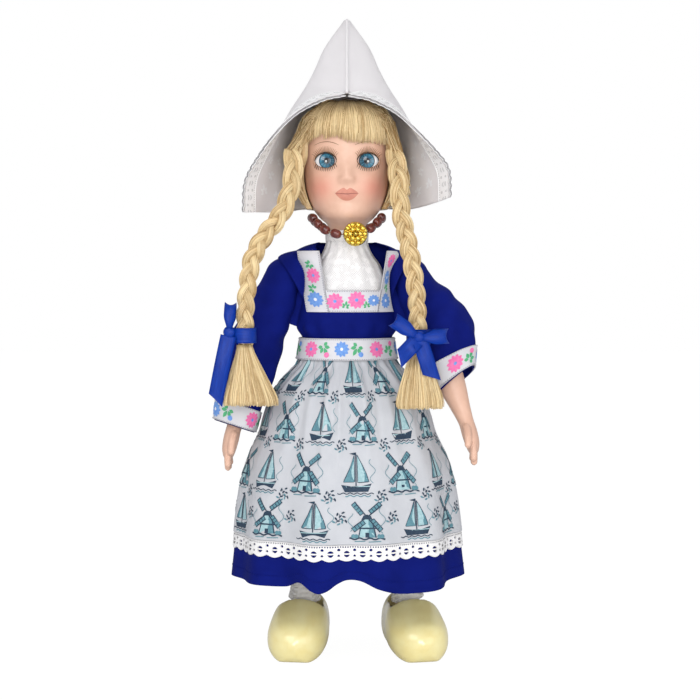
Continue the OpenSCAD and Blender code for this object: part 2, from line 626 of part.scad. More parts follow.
// Apron laid over the skirt from side to side, edged with scalloped lace
apron_half = fold_count + 1;
apron_in = cloth_t + fit_gap;
module apron() {
    turns = [for (j = [-apron_half:apron_half]) 360 * j / skirt_sides];
    color([0.85, 0.86, 0.9])
    skin(
        [for (t = apron_levels) [for (a = turns) on_skirt(t, a, apron_in + cloth_t)]],
        [for (t = apron_levels) [for (a = turns) on_skirt(t, a, apron_in)]]);
}
module apron_lace() {
    half = 360 * apron_half / skirt_sides;
    turns = steps(-half, half, 6 * apron_half);
    edge = [for (t = apron_levels) if (t > 0.15) t];
    low = apron_end + 0.2 / skirt_len;
    color([0.97, 0.97, 0.97]) {
        skin(
            [for (u = [0, 1]) [for (a = turns) on_skirt(lace_t(low, u, a), a, apron_in + ribbon_t)]],
            [for (u = [0, 1]) [for (a = turns) on_skirt(lace_t(low, u, a), a, apron_in)]]);
        for (s = [right, left])
            skin(
                [for (t = edge) [for (u = [0, 1]) on_skirt(t, side_a(s, half, u, t), apron_in + ribbon_t)]],
                [for (t = edge) [for (u = [0, 1]) on_skirt(t, side_a(s, half, u, t), apron_in)]]);
    }
}
function side_a(s, half, u, t) = s * (half + 0.4 + u * lace_w * 180 / PI / curve(flare, t)[1]);
function lace_t(low, u, a) = low + u * (lace_end - low) * (0.8 + 0.2 * abs(cos(180 * a / scallop)));

// Ribbon round the waist over the top of skirt, apron and bodice
module waistband() {
    turns = spread(28, 0);
    low = waist_z - ribbon_w / 2;
    high = waist_z + ribbon_w / 2;
    reach = apron_in + cloth_t + fit_gap + 0.3;
    rows = [
        [low, [waist_half + 3.6 + reach, waist_deep + 2.8 + reach, waist_deep + 2.8 + reach]],
        [waist_z, [waist_half + 2.6 + reach, waist_deep + 1.8 + reach, waist_deep + 1.8 + reach]],
        [high, [waist_half + 1.9 + reach, waist_deep + 1.9 + reach, waist_deep + 1.3 + reach]]];
    color([0.95, 0.94, 0.95])
    skin(
        [for (z = [low, waist_z, high]) [for (a = turns) oval(curve(rows, z), a, ribbon_t, z)]],
        [for (z = [low, waist_z, high]) [for (a = turns) oval(curve(rows, z), a, 0, z)]],
        true);
}

// Arms hang in their own frame: pivot at the origin, arm along -Z, outside at +X for the left
function splay(s) = s == left ? splay_left : splay_right;
function reach(s) = s == left ? reach_left : reach_right;
module at_shoulder(s)
    translate([s * shoulder_half, 0, shoulder_z]) rotate([-reach(s), -s * splay(s), 0]) children();

tab_r = 4.4;
module shoulder_tab(s) color([0.85, 0.78, 0.66]) at_shoulder(s) sphere(r = tab_r);
module shoulder_tab_right() shoulder_tab(right);
module shoulder_tab_left() shoulder_tab(left);

elbow = arm_len * 0.5;
neck_in = 7;
stub_r = arm_r - 2.2;
module upper_arm(s) {
    color([0.85, 0.78, 0.66]) at_shoulder(s)
    difference() {
        rotate_extrude() polygon([
            [0, 0], [arm_r, 0], [arm_r + 0.6, -elbow * 0.2], [arm_r + 0.6, -elbow * 0.45],
            [arm_r + 0.2, -elbow * 0.7], [arm_r - 0.3, -elbow + neck_in],
            [arm_r - 0.8, -elbow + neck_in - 1.6], [arm_r - 0.8, -elbow + neck_in - 3],
            [arm_r - 0.4, -elbow + 1], [arm_r - 0.6, -elbow], [stub_r + fit_gap, -elbow],
            [stub_r + fit_gap, -elbow + neck_in], [0, -elbow + neck_in]]);
        sphere(r = tab_r + fit_gap);
    }
}
module upper_arm_right() upper_arm(right);
module upper_arm_left() upper_arm(left);

// Cord that ties the cloth arm on to the bisque
tie_d = 1.1;
module arm_tie(s) {
    color([0.8, 0.75, 0.65]) at_shoulder(s) translate([0, 0, -elbow + neck_in - 2.3])
        rotate_extrude() translate([arm_r - 0.8 + tie_d / 2 + 0.1, 0]) circle(d = tie_d);
}
module arm_tie_right() arm_tie(right);
module arm_tie_left() arm_tie(left);

// Bisque forearm and hand: distance from the elbow, half width, half thickness, sideways bend
hand = arm_len - elbow;
hand_rows = [
    [-neck_in + 0.4, [stub_r, stub_r, 0]],
    [-0.2, [stub_r, stub_r, 0]],
    [0.4, [arm_r - 0.4, arm_r - 0.4, 0]],
    [hand * 0.2, [arm_r - 1, arm_r - 0.8, 0]],
    [hand * 0.42, [4.6, 4.8, 0]],
    [hand * 0.56, [3.7, 4.2, 0]],
    [hand * 0.68, [3.9, 5.8, -0.4]],
    [hand * 0.8, [3.6, 6.2, -1]],
    [hand * 0.9, [2.9, 5.4, -2]],
    [hand * 0.97, [2.1, 4, -2.8]],
    [hand, [1, 2, -3.2]]];
hand_steps = [-neck_in + 0.4, -0.2, 0.4, hand * 0.2, hand * 0.34, hand * 0.46, hand * 0.56, hand * 0.64,
    hand * 0.72, hand * 0.8, hand * 0.87, hand * 0.93, hand * 0.97, hand];
module forearm(s) {
    color([0.96, 0.8, 0.7]) at_shoulder(s) {
        union() {
            loft([for (d = hand_steps) let (v = curve(hand_rows, d))
                [for (j = [0:13]) let (a = 360 * j / 14)
                    [s * v[2] + v[0] * cos(a), v[1] * sin(a), -elbow - d]]]);
            rod(
                [for (u = steps(0, 1, 5))
                    [s * (-1 - 2.4 * u * u), -3.2 - 4.6 * sin(100 * u), -elbow - hand * (0.62 + 0.24 * u)]],
                [1.9, 2, 1.9, 1.8, 1.5, 0.8], [1.9, 2.1, 2, 1.8, 1.5, 0.8], [1, 0, 0], 8);
        }
    }
}
module forearm_right() forearm(right);
module forearm_left() forearm(left);

// Wide sleeve with a rounded head: shift outward, half width and half depth along the arm
sleeve_rows_right = [
    [0, [0, sleeve_head_r, sleeve_head_r]],
    [7, [0.4, sleeve_head_r + 0.8, sleeve_head_r + 0.8]],
    [sleeve_right * 0.26, [1.8, 12, 11.2]],
    [sleeve_right * 0.52, [2.6, 13, 12]],
    [sleeve_right - 14, [1.6, cuff_r + 1.8, cuff_r + 1.2]],
    [sleeve_right, [0, cuff_r, cuff_r]]];
sleeve_rows_left = [
    [0, [0, sleeve_head_r, sleeve_head_r]],
    [7, [0.8, sleeve_head_r + 1.2, sleeve_head_r + 0.8]],
    [sleeve_left * 0.3, [3.6, 13.4, 11.4]],
    [sleeve_left * 0.53, [5, 15, 12.4]],
    [sleeve_left - 12, [4, cuff_r + 3.4, cuff_r + 1.8]],
    [sleeve_left, [2.4, cuff_r + 0.8, cuff_r]]];
function sleeve_len(s) = s == left ? sleeve_left : sleeve_right;
function sleeve_rows(s) = s == left ? sleeve_rows_left : sleeve_rows_right;
function pucker(s, d, a) =
    let (n = sleeve_len(s), rise = min(max(d / 14, 0), 1))
    0.5 * rise * cos(4 * a + 9 * d + s * 40) * bell(d - n * 0.6, n * 0.35);
function tilt(s, d) = s == left ? cuff_tilt * max(0, d / sleeve_left) ^ 3 : 0;
function sleeve_ring(s, d, grow) =
    let (v = curve(sleeve_rows(s), d))
    [for (j = [0:15]) let (a = 22.5 * j, g = grow + pucker(s, d, a))
        [s * v[0] + (v[1] + g) * cos(a), (v[2] + g) * sin(a), tilt(s, d) * s * cos(a) - d]];
function ball_ring(r, up) =
    [for (j = [0:15]) let (a = 22.5 * j) [r * cos(up) * cos(a), r * cos(up) * sin(a), r * sin(up)]];
module sleeve(s) {
    runs = concat([0, 7, 16], steps(26, sleeve_len(s) - 10, 3), [sleeve_len(s)]);
    color([0.1, 0.1, 0.58]) at_shoulder(s)
    loft(concat(
        [for (up = [70, 45, 22]) ball_ring(sleeve_head_r, up)],
        [for (d = runs) sleeve_ring(s, d, 0)],
        [for (i = [len(runs) - 1:-1:0]) sleeve_ring(s, runs[i], -cloth_t)],
        [for (up = [22, 45, 70]) ball_ring(sleeve_head_r - cloth_t, up)]));
}
module sleeve_right() sleeve(right);
module sleeve_left() sleeve(left);

module cuff_trim(s) {
    runs = [sleeve_len(s) - ribbon_w, sleeve_len(s) - 0.4];
    color([0.95, 0.94, 0.95]) at_shoulder(s)
    skin(
        [for (d = runs) sleeve_ring(s, d, fit_gap + ribbon_t)],
        [for (d = runs) sleeve_ring(s, d, fit_gap)],
        true);
}
module cuff_trim_right() cuff_trim(right);
module cuff_trim_left() cuff_trim(left);

// Legs: stuffed thigh from the hip ball to the knee, bisque from the knee to the toes
ankle_z = 26;
ankle_y = 7;
knee_share = 0.5;
function foot_x(s) = s == left ? foot_left : foot_right;
function foot_turn(s) = s * (s == left ? turn_left : turn_right);
function hip_point(s) = [s * hip_half, 0, hip_height];
function ankle_point(s) = [foot_x(s), ankle_y, ankle_z];
function leg_run(s) = norm(ankle_point(s) - hip_point(s));
function leg_point(s, d) = hip_point(s) + (ankle_point(s) - hip_point(s)) * (d / leg_run(s));
module along_leg(s) {
    v = hip_point(s) - ankle_point(s);
    translate(hip_point(s)) rotate([0, acos(v[2] / norm(v)), atan2(v[1], v[0])]) children();
}
knee = (hip_height - ankle_z) * knee_share;
knee_r = thigh_r - 2.2;
shin_r = knee_r - 1.4;
module upper_leg(s) {
    color([0.85, 0.78, 0.66]) {
        union() {
            translate(hip_point(s)) sphere(r = thigh_r);
            along_leg(s) rotate_extrude() polygon([
                [0, 0], [thigh_r - 0.05, -0.6], [thigh_r + 0.1, -knee * 0.3], [thigh_r - 0.6, -knee * 0.65],
                [knee_r + 0.6, -knee + 8], [knee_r, -knee + 6], [knee_r, -knee + 4.4],
                [knee_r + 0.4, -knee + 1], [knee_r + 0.2, -knee], [shin_r + fit_gap, -knee],
                [shin_r + fit_gap, -knee + 7], [0, -knee + 7]]);
        }
    }
}
module upper_leg_right() upper_leg(right);
module upper_leg_left() upper_leg(left);

module leg_tie(s) {
    color([0.8, 0.75, 0.65]) along_leg(s) translate([0, 0, -knee + 5.2])
        rotate_extrude() translate([knee_r + tie_d / 2 + 0.1, 0]) circle(d = tie_d);
}
module leg_tie_right() leg_tie(right);
module leg_tie_left() leg_tie(left);

// Bisque leg: one rod down the shin, round the ankle and along the foot
ankle_r = 5.4;
foot_h = 6;
function toe_way(s) = [sin(foot_turn(s)), -cos(foot_turn(s)), 0];
module lower_leg(s) {
    run = leg_run(s);
    foot_z = sole_t + fit_gap + foot_h;
    base = [foot_x(s), ankle_y, foot_z];
    way = toe_way(s);
    downs = [knee - 6.6, knee - 0.2, knee + 0.4, knee + 12, knee + 24, knee + 36, run - 3];
    shin = [for (d = downs) leg_point(s, d)];
    wide = [shin_r, shin_r, knee_r, calf_r, calf_r - 0.6, ankle_r + 0.6, ankle_r,
        ankle_r + 0.6, 6.6, 7.4, 8, 7.4, 4];
    deep = [shin_r, shin_r, knee_r, calf_r, calf_r - 0.4, ankle_r + 0.6, ankle_r + 0.4,
        7, 7.4, foot_h - 0.4, foot_h - 0.6, foot_h - 1.6, 2.4];
    foot = [
        base + [0, 0, 8], base + way * 2.4 + [0, 0, 2.4], base + way * 9 + [0, 0, -0.4],
        base + way * 17 + [0, 0, -0.6], base + way * 25 + [0, 0, -1.2], base + way * 29 + [0, 0, -2.4]];
    color([0.96, 0.8, 0.7]) rod(concat(shin, foot), wide, deep, [1, 0.001, 0], 14);
}
module lower_leg_right() lower_leg(right);
module lower_leg_left() lower_leg(left);

// Knitted sock round the shin, down into the clog
sock_t = 1;
module sock(s) {
    high = (hip_height - sock_top) / (hip_height - ankle_z) * leg_run(s);
    low = leg_run(s) + 1;
    runs = steps(high, low, 5);
    rows = [
        [knee, [knee_r + 0.2, 0]], [knee + 12, [calf_r + 0.2, 0]], [knee + 24, [calf_r - 0.2, 0]],
        [knee + 36, [ankle_r + 0.9, 0]], [leg_run(s) - 3, [ankle_r + 0.8, 0]],
        [leg_run(s) + 6, [ankle_r + 2.6, 0]]];
    color([0.93, 0.9, 0.84]) along_leg(s) rotate_extrude() polygon(concat(
        [for (d = runs) [curve(rows, d)[0] + fit_gap, -d]],
        [for (i = [5:-1:0]) [curve(rows, runs[i])[0] + fit_gap + sock_t, -runs[i]]]));
}
module sock_right() sock(right);
module sock_left() sock(left);

// Clog: share of the length from toe to heel, half width, underside, top
clog_rows = [
    [0, [0.1, 0.3, 0.4]],
    [0.03, [0.42, 0.14, 0.53]],
    [0.1, [0.74, 0.03, 0.66]],
    [0.22, [0.95, 0, 0.76]],
    [0.36, [1, 0, 0.88]],
    [0.5, [0.97, 0, 1]],
    [0.66, [0.86, 0.05, 0.98]],
    [0.8, [0.8, 0, 0.92]],
    [0.92, [0.7, 0, 0.94]],
    [0.98, [0.5, 0.03, 0.92]],
    [1, [0.3, 0.1, 0.86]]];
function clog_ring(u, n) =
    let (v = curve(clog_rows, u), w = v[0] * clog_w / 2, low = v[1] * clog_h, high = v[2] * clog_h)
    [for (j = [0:n - 1])
        let (a = 360 * j / n, c = cos(a), d = sin(a), mid = low + (high - low) * 0.45)
        [w * sign(c) * abs(c) ^ 0.8, (u - 0.7) * clog_len,
            d > 0 ? mid + (high - mid) * d ^ 0.8 : max(low, mid + (mid - low) * 1.18 * d)]];
hollow_rows = [
    [0.14, [0.3, 0.3, 0.42]],
    [0.2, [0.66, 0.22, 0.56]],
    [0.34, [0.95, 0.19, 0.74]],
    [0.46, [1, 0.18, 0.88]],
    [0.52, [1, 0.18, 1.25]],
    [0.7, [0.98, 0.18, 1.4]],
    [0.86, [0.9, 0.18, 1.4]],
    [0.935, [0.66, 0.22, 1.4]]];
function hollow_ring(u, n) =
    let (v = curve(hollow_rows, u), w = v[0] * (curve(clog_rows, u)[0] * clog_w / 2 - clog_wall),
        low = max(sole_t, v[1] * clog_h), high = v[2] * clog_h)
    [for (j = [0:n - 1])
        let (a = 360 * j / n + 180 / n, c = cos(a), d = sin(a), z = (low + high) / 2)
        [w * sign(c) * abs(c) ^ 0.7, (u - 0.7) * clog_len, z + (high - z) * sign(d) * abs(d) ^ 0.7]];
clog_steps = [0, 0.03, 0.08, 0.15, 0.25, 0.36, 0.47, 0.58, 0.7, 0.8, 0.9, 0.965, 1];
hollow_steps = [0.14, 0.2, 0.32, 0.46, 0.52, 0.64, 0.78, 0.88, 0.935];
module clog(s) {
    color([0.95, 0.88, 0.68])
    translate([foot_x(s), ankle_y, 0]) rotate(foot_turn(s))
    difference() {
        loft([for (u = clog_steps) clog_ring(u, 18)]);
        loft([for (u = hollow_steps) hollow_ring(u, 14)]);
        translate([0, 0, -5]) cube([80, 160, 10], center = true);
    }
}
module clog_right() clog(right);
module clog_left() clog(left);

// Plaits: three strands that cross in turn along a path from the temple to the ribbon
plait_rows_right = [
    [0, [-25.4, -16.3, chin_z + 34]],
    [0.14, [-26, -23.4, chin_z + 18]],
    [0.28, [-31, -25, chin_z + 4]],
    [0.42, [-38.6, -26, chin_z - 6]],
    [0.56, [-44.4, -26.6, chin_z - 17]],
    [0.7, [-46.8, -27, chin_z - 30]],
    [0.85, [-48, -27, chin_z - 44]],
    [1, [-48.4, -27, chin_z - 57.4]]];
plait_rows_left = [
    [0, [22.9, -14.2, chin_z + 34]],
    [0.14, [24.4, -23.4, chin_z + 20]],
    [0.28, [25.6, -25.6, chin_z + 4]],
    [0.42, [28.4, -26.6, chin_z - 8]],
    [0.56, [30.8, -27.2, chin_z - 20]],
    [0.7, [32.6, -27.8, chin_z - 33]],
    [0.85, [33.5, -28.4, chin_z - 46]],
    [1, [33.7, -29, chin_z - 58]]];
function plait_rows(s) = s == left ? plait_rows_left : plait_rows_right;
plait_run = 94;
plait_steps = 34;
function plait_frame(s, u) =
    let (along = unit(curve(plait_rows(s), min(u + 0.01, 1)) - curve(plait_rows(s), max(u - 0.01, 0))),
        wide = unit(cross(along, [0, 1, 0])))
    [curve(plait_rows(s), u), wide, cross(along, wide)];
function strand_point(s, u, k) =
    let (f = plait_frame(s, u), a = 360 * u * plait_run / plait_pitch + 120 * k, thin = 1 - 0.12 * u)
    f[0] + f[1] * (plait_half * thin * sin(a)) + f[2] * (plait_deep * sin(2 * a));
module plait(s) {
    r = strand_d / 2;
    color([0.9, 0.75, 0.45])
    for (k = [0:2])
        rod([for (u = steps(0, 1, plait_steps)) strand_point(s, u, k)],
            [for (u = steps(0, 1, plait_steps)) r * (1 - 0.06 * u)],
            [for (u = steps(0, 1, plait_steps)) r * (1 - 0.06 * u)], [0, 1, 0], 5);
}
module plait_right() plait(right);
module plait_left() plait(left);

// Loose hair under the ribbon, flaring to a cut end
function tassel_end(s) = s == left ? [0.4, -10, -tassel_len] : [3.2, -3, -tassel_len];
function tassel_wide(s) = s == left ? 1 : 1.2;
tassel_rings = [[0, 3.6, 3], [0.12, 4, 3.2], [0.3, 5.6, 3.8], [0.6, 8.6, 4.8], [0.9, 11, 5.4], [1, 10.4, 4.8]];
module tassel(s) {
    top = curve(plait_rows(s), 1) + [0, 0, -0.5];
    color([0.92, 0.78, 0.48])
    loft([for (v = tassel_rings)
        [for (j = [0:15]) let (w = v[1] * (1 + (tassel_wide(s) - 1) * v[0]))
            top + tassel_end(s) * v[0] + [w * cos(22.5 * j), v[2] * sin(22.5 * j), 0]]]);
}
module tassel_right() tassel(right);
module tassel_left() tassel(left);

// Satin bow tied round the end of a plait: ring, knot, loops and tails
// The right one is a half bow at the side of the plait, with one loop and one long tail
band_in = plait_half + strand_d / 2 + 0.4;
band_out = band_in + ribbon_t;
band_half = 3.6;
knot_r = 2.4;
function knot_at(s) = s == left ? [0, -band_out - 1.9, 0] : [-band_out - 1.2, -3.4, 1.6];
function loop_way(s) = s == left ? [[-0.82, 0, 0.56], [0.99, 0, 0.05]] : [[0.05, 0, 1]];
function loop_len(s) = s == left ? [13.5, 12.5] : [12.5];
function loop_w(s) = bow_w * (s == left ? 0.95 : 0.72);
function tail_way(s) =
    s == left ? [[-0.68, -0.1, -0.72], [0.3, -0.1, -0.95]] : [[-0.2, -0.04, -0.98]];
function tail_len(s) = s == left ? [12, 18] : [31];
function across(way, w) = [way[2], 0, -way[0]] / norm([way[2], 0, way[0]]) * w;
module bow(s) {
    mid = curve(plait_rows(s), 1) + [0, 0, 4];
    knot = mid + knot_at(s);
    color([0.1, 0.12, 0.6]) {
        translate(mid) rotate_extrude() polygon([
            [band_in, -band_half], [band_out, -band_half], [band_out, band_half], [band_in, band_half]]);
        translate(knot) rotate([90, 0, 0]) cylinder(r = knot_r, h = 3.2, center = true);
        for (k = [0:len(loop_way(s)) - 1]) {
            way = loop_way(s)[k];
            span = loop_len(s)[k] * 0.45;
            ribbon([for (a = [50:26:310]) knot + way * (2.6 + span * (1 - cos(a))) + [0, -3.4 * sin(a), 0]],
                across(way, loop_w(s)), ribbon_t);
            fall = tail_way(s)[k];
            drop = tail_len(s)[k];
            ribbon([for (u = steps(0, 1, 5))
                    knot + fall * (1.6 + drop * u) + [0, -1.6 - 1.2 * sin(240 * u), 0]],
                across(fall, bow_w), ribbon_t);
        }
    }
}
module bow_right() bow(right);
module bow_left() bow(left);

shoulder_head();
eye_right();
eye_left();
eye_setting();
crown_pate();
hair_cap();
fringe();
cap_body();
cap_lace();
cloth_body();
body_filling();
bodice();
dickey();
neck_trim();
neck_band();
necklace_cord();
necklace_beads();
necklace_clasp();
skirt();
apron();
apron_lace();
waistband();
shoulder_tab_right();
shoulder_tab_left();
upper_arm_right();
upper_arm_left();
arm_tie_right();
arm_tie_left();
forearm_right();
forearm_left();
sleeve_right();
sleeve_left();
cuff_trim_right();
cuff_trim_left();
upper_leg_right();
upper_leg_left();
leg_tie_right();
leg_tie_left();
lower_leg_right();
lower_leg_left();
sock_right();
sock_left();
clog_right();
clog_left();
plait_right();
plait_left();
tassel_right();
tassel_left();
bow_right();
bow_left();
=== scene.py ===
# %% [markdown]
# # A bisque doll in folk dress
# A doll of about 31 cm with a porcelain head and hands on a stuffed cloth body.
# The lesson builds what is seen of it, piece by piece, around a fixed CAD frame.
# All forms are worked out in millimetres and turned into metres when a mesh is made.

import math

import bpy
import numpy as np
from mathutils import Matrix


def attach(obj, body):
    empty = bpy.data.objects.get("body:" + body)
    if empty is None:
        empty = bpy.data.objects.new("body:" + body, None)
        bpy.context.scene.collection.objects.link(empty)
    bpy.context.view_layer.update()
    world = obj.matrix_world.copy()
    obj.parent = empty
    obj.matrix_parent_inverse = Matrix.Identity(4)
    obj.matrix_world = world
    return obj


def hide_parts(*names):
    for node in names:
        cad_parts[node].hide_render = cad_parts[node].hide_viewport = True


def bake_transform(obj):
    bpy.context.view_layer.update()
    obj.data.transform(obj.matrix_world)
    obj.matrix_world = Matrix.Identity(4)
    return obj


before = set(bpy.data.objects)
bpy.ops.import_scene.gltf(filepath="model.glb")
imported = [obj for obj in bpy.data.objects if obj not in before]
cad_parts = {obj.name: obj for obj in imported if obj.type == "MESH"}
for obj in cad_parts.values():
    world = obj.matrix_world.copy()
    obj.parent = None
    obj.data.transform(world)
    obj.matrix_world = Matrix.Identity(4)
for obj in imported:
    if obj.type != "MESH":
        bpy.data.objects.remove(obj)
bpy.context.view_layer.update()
RNG = np.random.default_rng(11)
SIDES = {"right": -1, "left": 1}
MM = 0.001

# %% [markdown]
# ## Small tools
# A form is a grid of points. Listed tables give a few rows of it, and one cubic rule joins
# them. Tables could be splines in a file, but short tables in the text are easier to change.


# %% Numbers and curves
def sind(a):
    return np.sin(np.radians(a))


def cosd(a):
    return np.cos(np.radians(a))


def bell(x, width):
    return np.exp(-((np.asarray(x, float) / width) ** 2))


def ease(x, low, high):
    """0 below low, 1 above high, smooth between."""
    u = np.clip((np.asarray(x, float) - low) / (high - low), 0, 1)
    return u * u * (3 - 2 * u)


def unit(v):
    return v / np.maximum(np.linalg.norm(v, axis=-1, keepdims=True), 1e-9)


def vec(*parts):
    """One array of points from x, y and z, which may be arrays or numbers."""
    return np.stack(np.broadcast_arrays(*[np.asarray(p, float) for p in parts]), -1)


def lengths(path):
    """Way along a path up to each of its points."""
    return np.concatenate([[0], np.cumsum(np.linalg.norm(np.diff(path, axis=0), axis=1))])


def spin(p, q, angle):
    """The first axis turned toward the second."""
    c, d = math.cos(angle), math.sin(angle)
    return p * c - q * d, p * d + q * c


def hermite(x, v, t):
    """Smooth cubics through values v at places x, read at t. v may hold one table for each t."""
    n = len(x)
    low, high = np.maximum(np.arange(n) - 1, 0), np.minimum(np.arange(n) + 1, n - 1)
    rise = (x[high] - x[low]).reshape((-1,) + (1,) * (v.ndim - 1))
    m = (v[high] - v[low]) / rise
    t = np.asarray(t, float)
    i = np.clip(np.searchsorted(x, t, side="right") - 1, 0, n - 2)
    h = x[i + 1] - x[i]
    u = np.clip((t - x[i]) / h, 0, 1)
    own = v.ndim > 2 and v.shape[1:-1] == t.shape
    pick = (lambda a, k: np.take_along_axis(a, k[None, ..., None], 0)[0]) if own else (lambda a, k: a[k])
    u, h = (q.reshape(q.shape + (1,) * (pick(v, i).ndim - q.ndim)) for q in (u, h))
    return (
        pick(v, i) * (2 * u**3 - 3 * u**2 + 1)
        + pick(m, i) * h * (u**3 - 2 * u**2 + u)
        + pick(v, i + 1) * (3 * u**2 - 2 * u**3)
        + pick(m, i + 1) * h * (u**3 - u**2)
    )


def curve(rows, t):
    return hermite(np.array([r[0] for r in rows], float), np.array([r[1] for r in rows], float), t)


print("number and curve tools ready")


# %% Faces and mesh objects
def grid_faces(rows, cols, wrap=False, start=0):
    """Four-sided faces of a grid; wrap joins its last column to its first."""
    i, j = np.meshgrid(np.arange(rows - 1), np.arange(cols if wrap else cols - 1), indexing="ij")
    k, low, high = (j + 1) % cols, i * cols, (i + 1) * cols
    return start + np.stack([low + j, low + k, high + k, high + j], -1).reshape(-1, 4)


def outward(points, faces):
    """The faces of a closed form, turned so that its normals look outward."""
    volume = 0.0
    for f in faces:
        p = points[f]
        for k in range(1, f.shape[1] - 1):
            volume += np.sum(p[:, 0] * np.cross(p[:, k], p[:, k + 1]))
    return faces if volume > 0 else [f[:, ::-1] for f in faces]


def link(name, data):
    obj = bpy.data.objects.new(name, data)
    bpy.context.scene.collection.objects.link(obj)
    return obj


def make(name, points, faces, paint, uv=None, fields=None):
    """A smooth mesh object from points in millimetres and arrays of faces."""
    faces = faces if isinstance(faces, list) else [faces]
    corners = np.concatenate([f.ravel() for f in faces]).astype(np.int32)
    sizes = np.concatenate([np.full(len(f), f.shape[1]) for f in faces])
    mesh = bpy.data.meshes.new(name)
    mesh.vertices.add(len(points))
    mesh.vertices.foreach_set("co", (np.asarray(points) * MM).astype(np.float32).ravel())
    mesh.loops.add(len(corners))
    mesh.loops.foreach_set("vertex_index", corners)
    mesh.polygons.add(len(sizes))
    mesh.polygons.foreach_set("loop_start", np.concatenate([[0], np.cumsum(sizes)[:-1]]).astype(np.int32))
    mesh.update(calc_edges=True)
    mesh.polygons.foreach_set("use_smooth", np.ones(len(sizes), bool))
    if uv is not None:
        places = mesh.uv_layers.new(name="flat")
        places.data.foreach_set("uv", np.asarray(uv, np.float32)[corners].ravel())
    for key, values in (fields or {}).items():
        mesh.attributes.new(key, "FLOAT", "POINT").data.foreach_set("value", np.asarray(values, np.float32))
    mesh.materials.append(paint)
    return link(name, mesh)


def plain(obj, name, paint):
    """The evaluated form as a plain mesh object; the first object is removed."""
    bpy.context.view_layer.update()
    mesh = bpy.data.meshes.new_from_object(obj.evaluated_get(bpy.context.evaluated_depsgraph_get()))
    bpy.data.objects.remove(obj)
    mesh.name = name
    mesh.materials.clear()
    mesh.materials.append(paint)
    mesh.polygons.foreach_set("use_smooth", np.ones(len(mesh.polygons), bool))
    return link(name, mesh)


print("mesh tools ready, for points in units of", MM, "m")


# %% Sheets, solids and rods
def shell(outer, inner, wrap=False):
    """Points and faces of a sheet with two faces and closed rims."""
    rows, cols = outer.shape[:2]
    n = rows * cols
    points = np.concatenate([outer.reshape(-1, 3), inner.reshape(-1, 3)])
    top = grid_faces(rows, cols, wrap)
    j = np.arange(cols if wrap else cols - 1)
    rims = []
    for row in (0, rows - 1):
        a, b = row * cols + j, row * cols + (j + 1) % cols
        rim = np.stack([a, b, b + n, a + n], -1)
        rims.append(rim[:, ::-1] if row == 0 else rim)
    if not wrap:
        i = np.arange(rows - 1)
        for col in (0, cols - 1):
            a, b = i * cols + col, (i + 1) * cols + col
            rim = np.stack([a, b, b + n, a + n], -1)
            rims.append(rim if col == 0 else rim[:, ::-1])
    return points, outward(points, [np.concatenate([top, top[:, ::-1] + n] + [r[:, ::-1] for r in rims])])


def layer(outer, inner, u, v, wrap=False):
    """A sheet as a part; u and v are its flat place in units of 100 mm, the same on both faces."""
    return *shell(outer, inner, wrap), np.concatenate([vec(u, v).reshape(-1, 2)] * 2)


def cloth(name, outer, inner, paint, u, v, wrap=False):
    """A piece of one sheet with thickness."""
    points, faces, uv = layer(outer, inner, u, v, wrap)
    return make(name, points, faces, paint, uv)


def closed_loft(rings):
    """Points and faces of a solid through rings of points, closed at both ends."""
    rows, cols = rings.shape[:2]
    points = np.concatenate([rings.reshape(-1, 3), rings[:1].mean(1), rings[-1:].mean(1)])
    j = np.arange(cols)
    k = (j + 1) % cols
    low = np.stack([np.full(cols, rows * cols), k, j], -1)
    high = np.stack([np.full(cols, rows * cols + 1), (rows - 1) * cols + j, (rows - 1) * cols + k], -1)
    return points, outward(points, [grid_faces(rows, cols, True), np.concatenate([low, high])])


def turned(rows, n):
    """Rings about the z axis; rows hold radius and height."""
    rows, a = np.array(rows, float), np.arange(n) * 360 / n
    return vec(rows[:, :1] * cosd(a)[None], rows[:, :1] * sind(a)[None], rows[:, 1:])


def ball_rows(radius, low, high, n):
    """Radius and height along a ball between two latitudes."""
    return [(radius * cosd(e), radius * sind(e)) for e in np.linspace(low, high, n)]


def tubes(paths, radius, sides):
    """Points and faces of many thin rods at once; paths is (rods, steps, 3)."""
    rods, steps = paths.shape[:2]
    along = unit(np.gradient(paths, axis=1))
    u = unit(np.cross(along, [0.3, 1, 0.2]))
    v = np.cross(along, u)
    r = np.broadcast_to(np.asarray(radius, float), (rods, steps))[..., None, None]
    a = (np.arange(sides) * 2 * np.pi / sides)[None, None, :, None]
    points = (paths[:, :, None] + r * (u[:, :, None] * np.cos(a) + v[:, :, None] * np.sin(a))).reshape(-1, 3)
    base = (np.arange(rods) * steps * sides)[:, None, None]
    quads = (grid_faces(steps, sides, True)[None] + base).reshape(-1, 4)
    ring = np.arange(sides)[None]
    first = base[:, 0] + ring[:, ::-1]
    last = base[:, 0] + (steps - 1) * sides + ring
    return points, [quads[:, ::-1], first[:, ::-1], last[:, ::-1]]


def join(parts):
    """One set of points, faces and values from parts; a value may be one number for its part."""
    points, faces, values, count = [], [], [], 0
    for p, f, value in parts:
        points.append(p)
        faces += [k + count for k in f]
        values.append(value if np.ndim(value) else np.full(len(p), value))
        count += len(p)
    return np.concatenate(points), faces, np.concatenate(values)


print("sheets, solids and rods ready")


# %% Pieces on the frame
def put(obj, body, slot, *nodes):
    """The piece rides on a body and stands for its CAD nodes, which it hides. Its slot is not used."""
    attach(obj, body)
    if nodes:
        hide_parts(*nodes)
    print(f"{obj.name}: {len(obj.data.polygons)} faces on {body}")
    return obj


def sewn(name, parts, paint, body, slot, *nodes):
    """One piece from parts that hold points, faces and flat places."""
    points, faces, uv = join(parts)
    return put(make(name, points, faces, paint, uv), body, slot, *nodes)


print("piece tools ready")

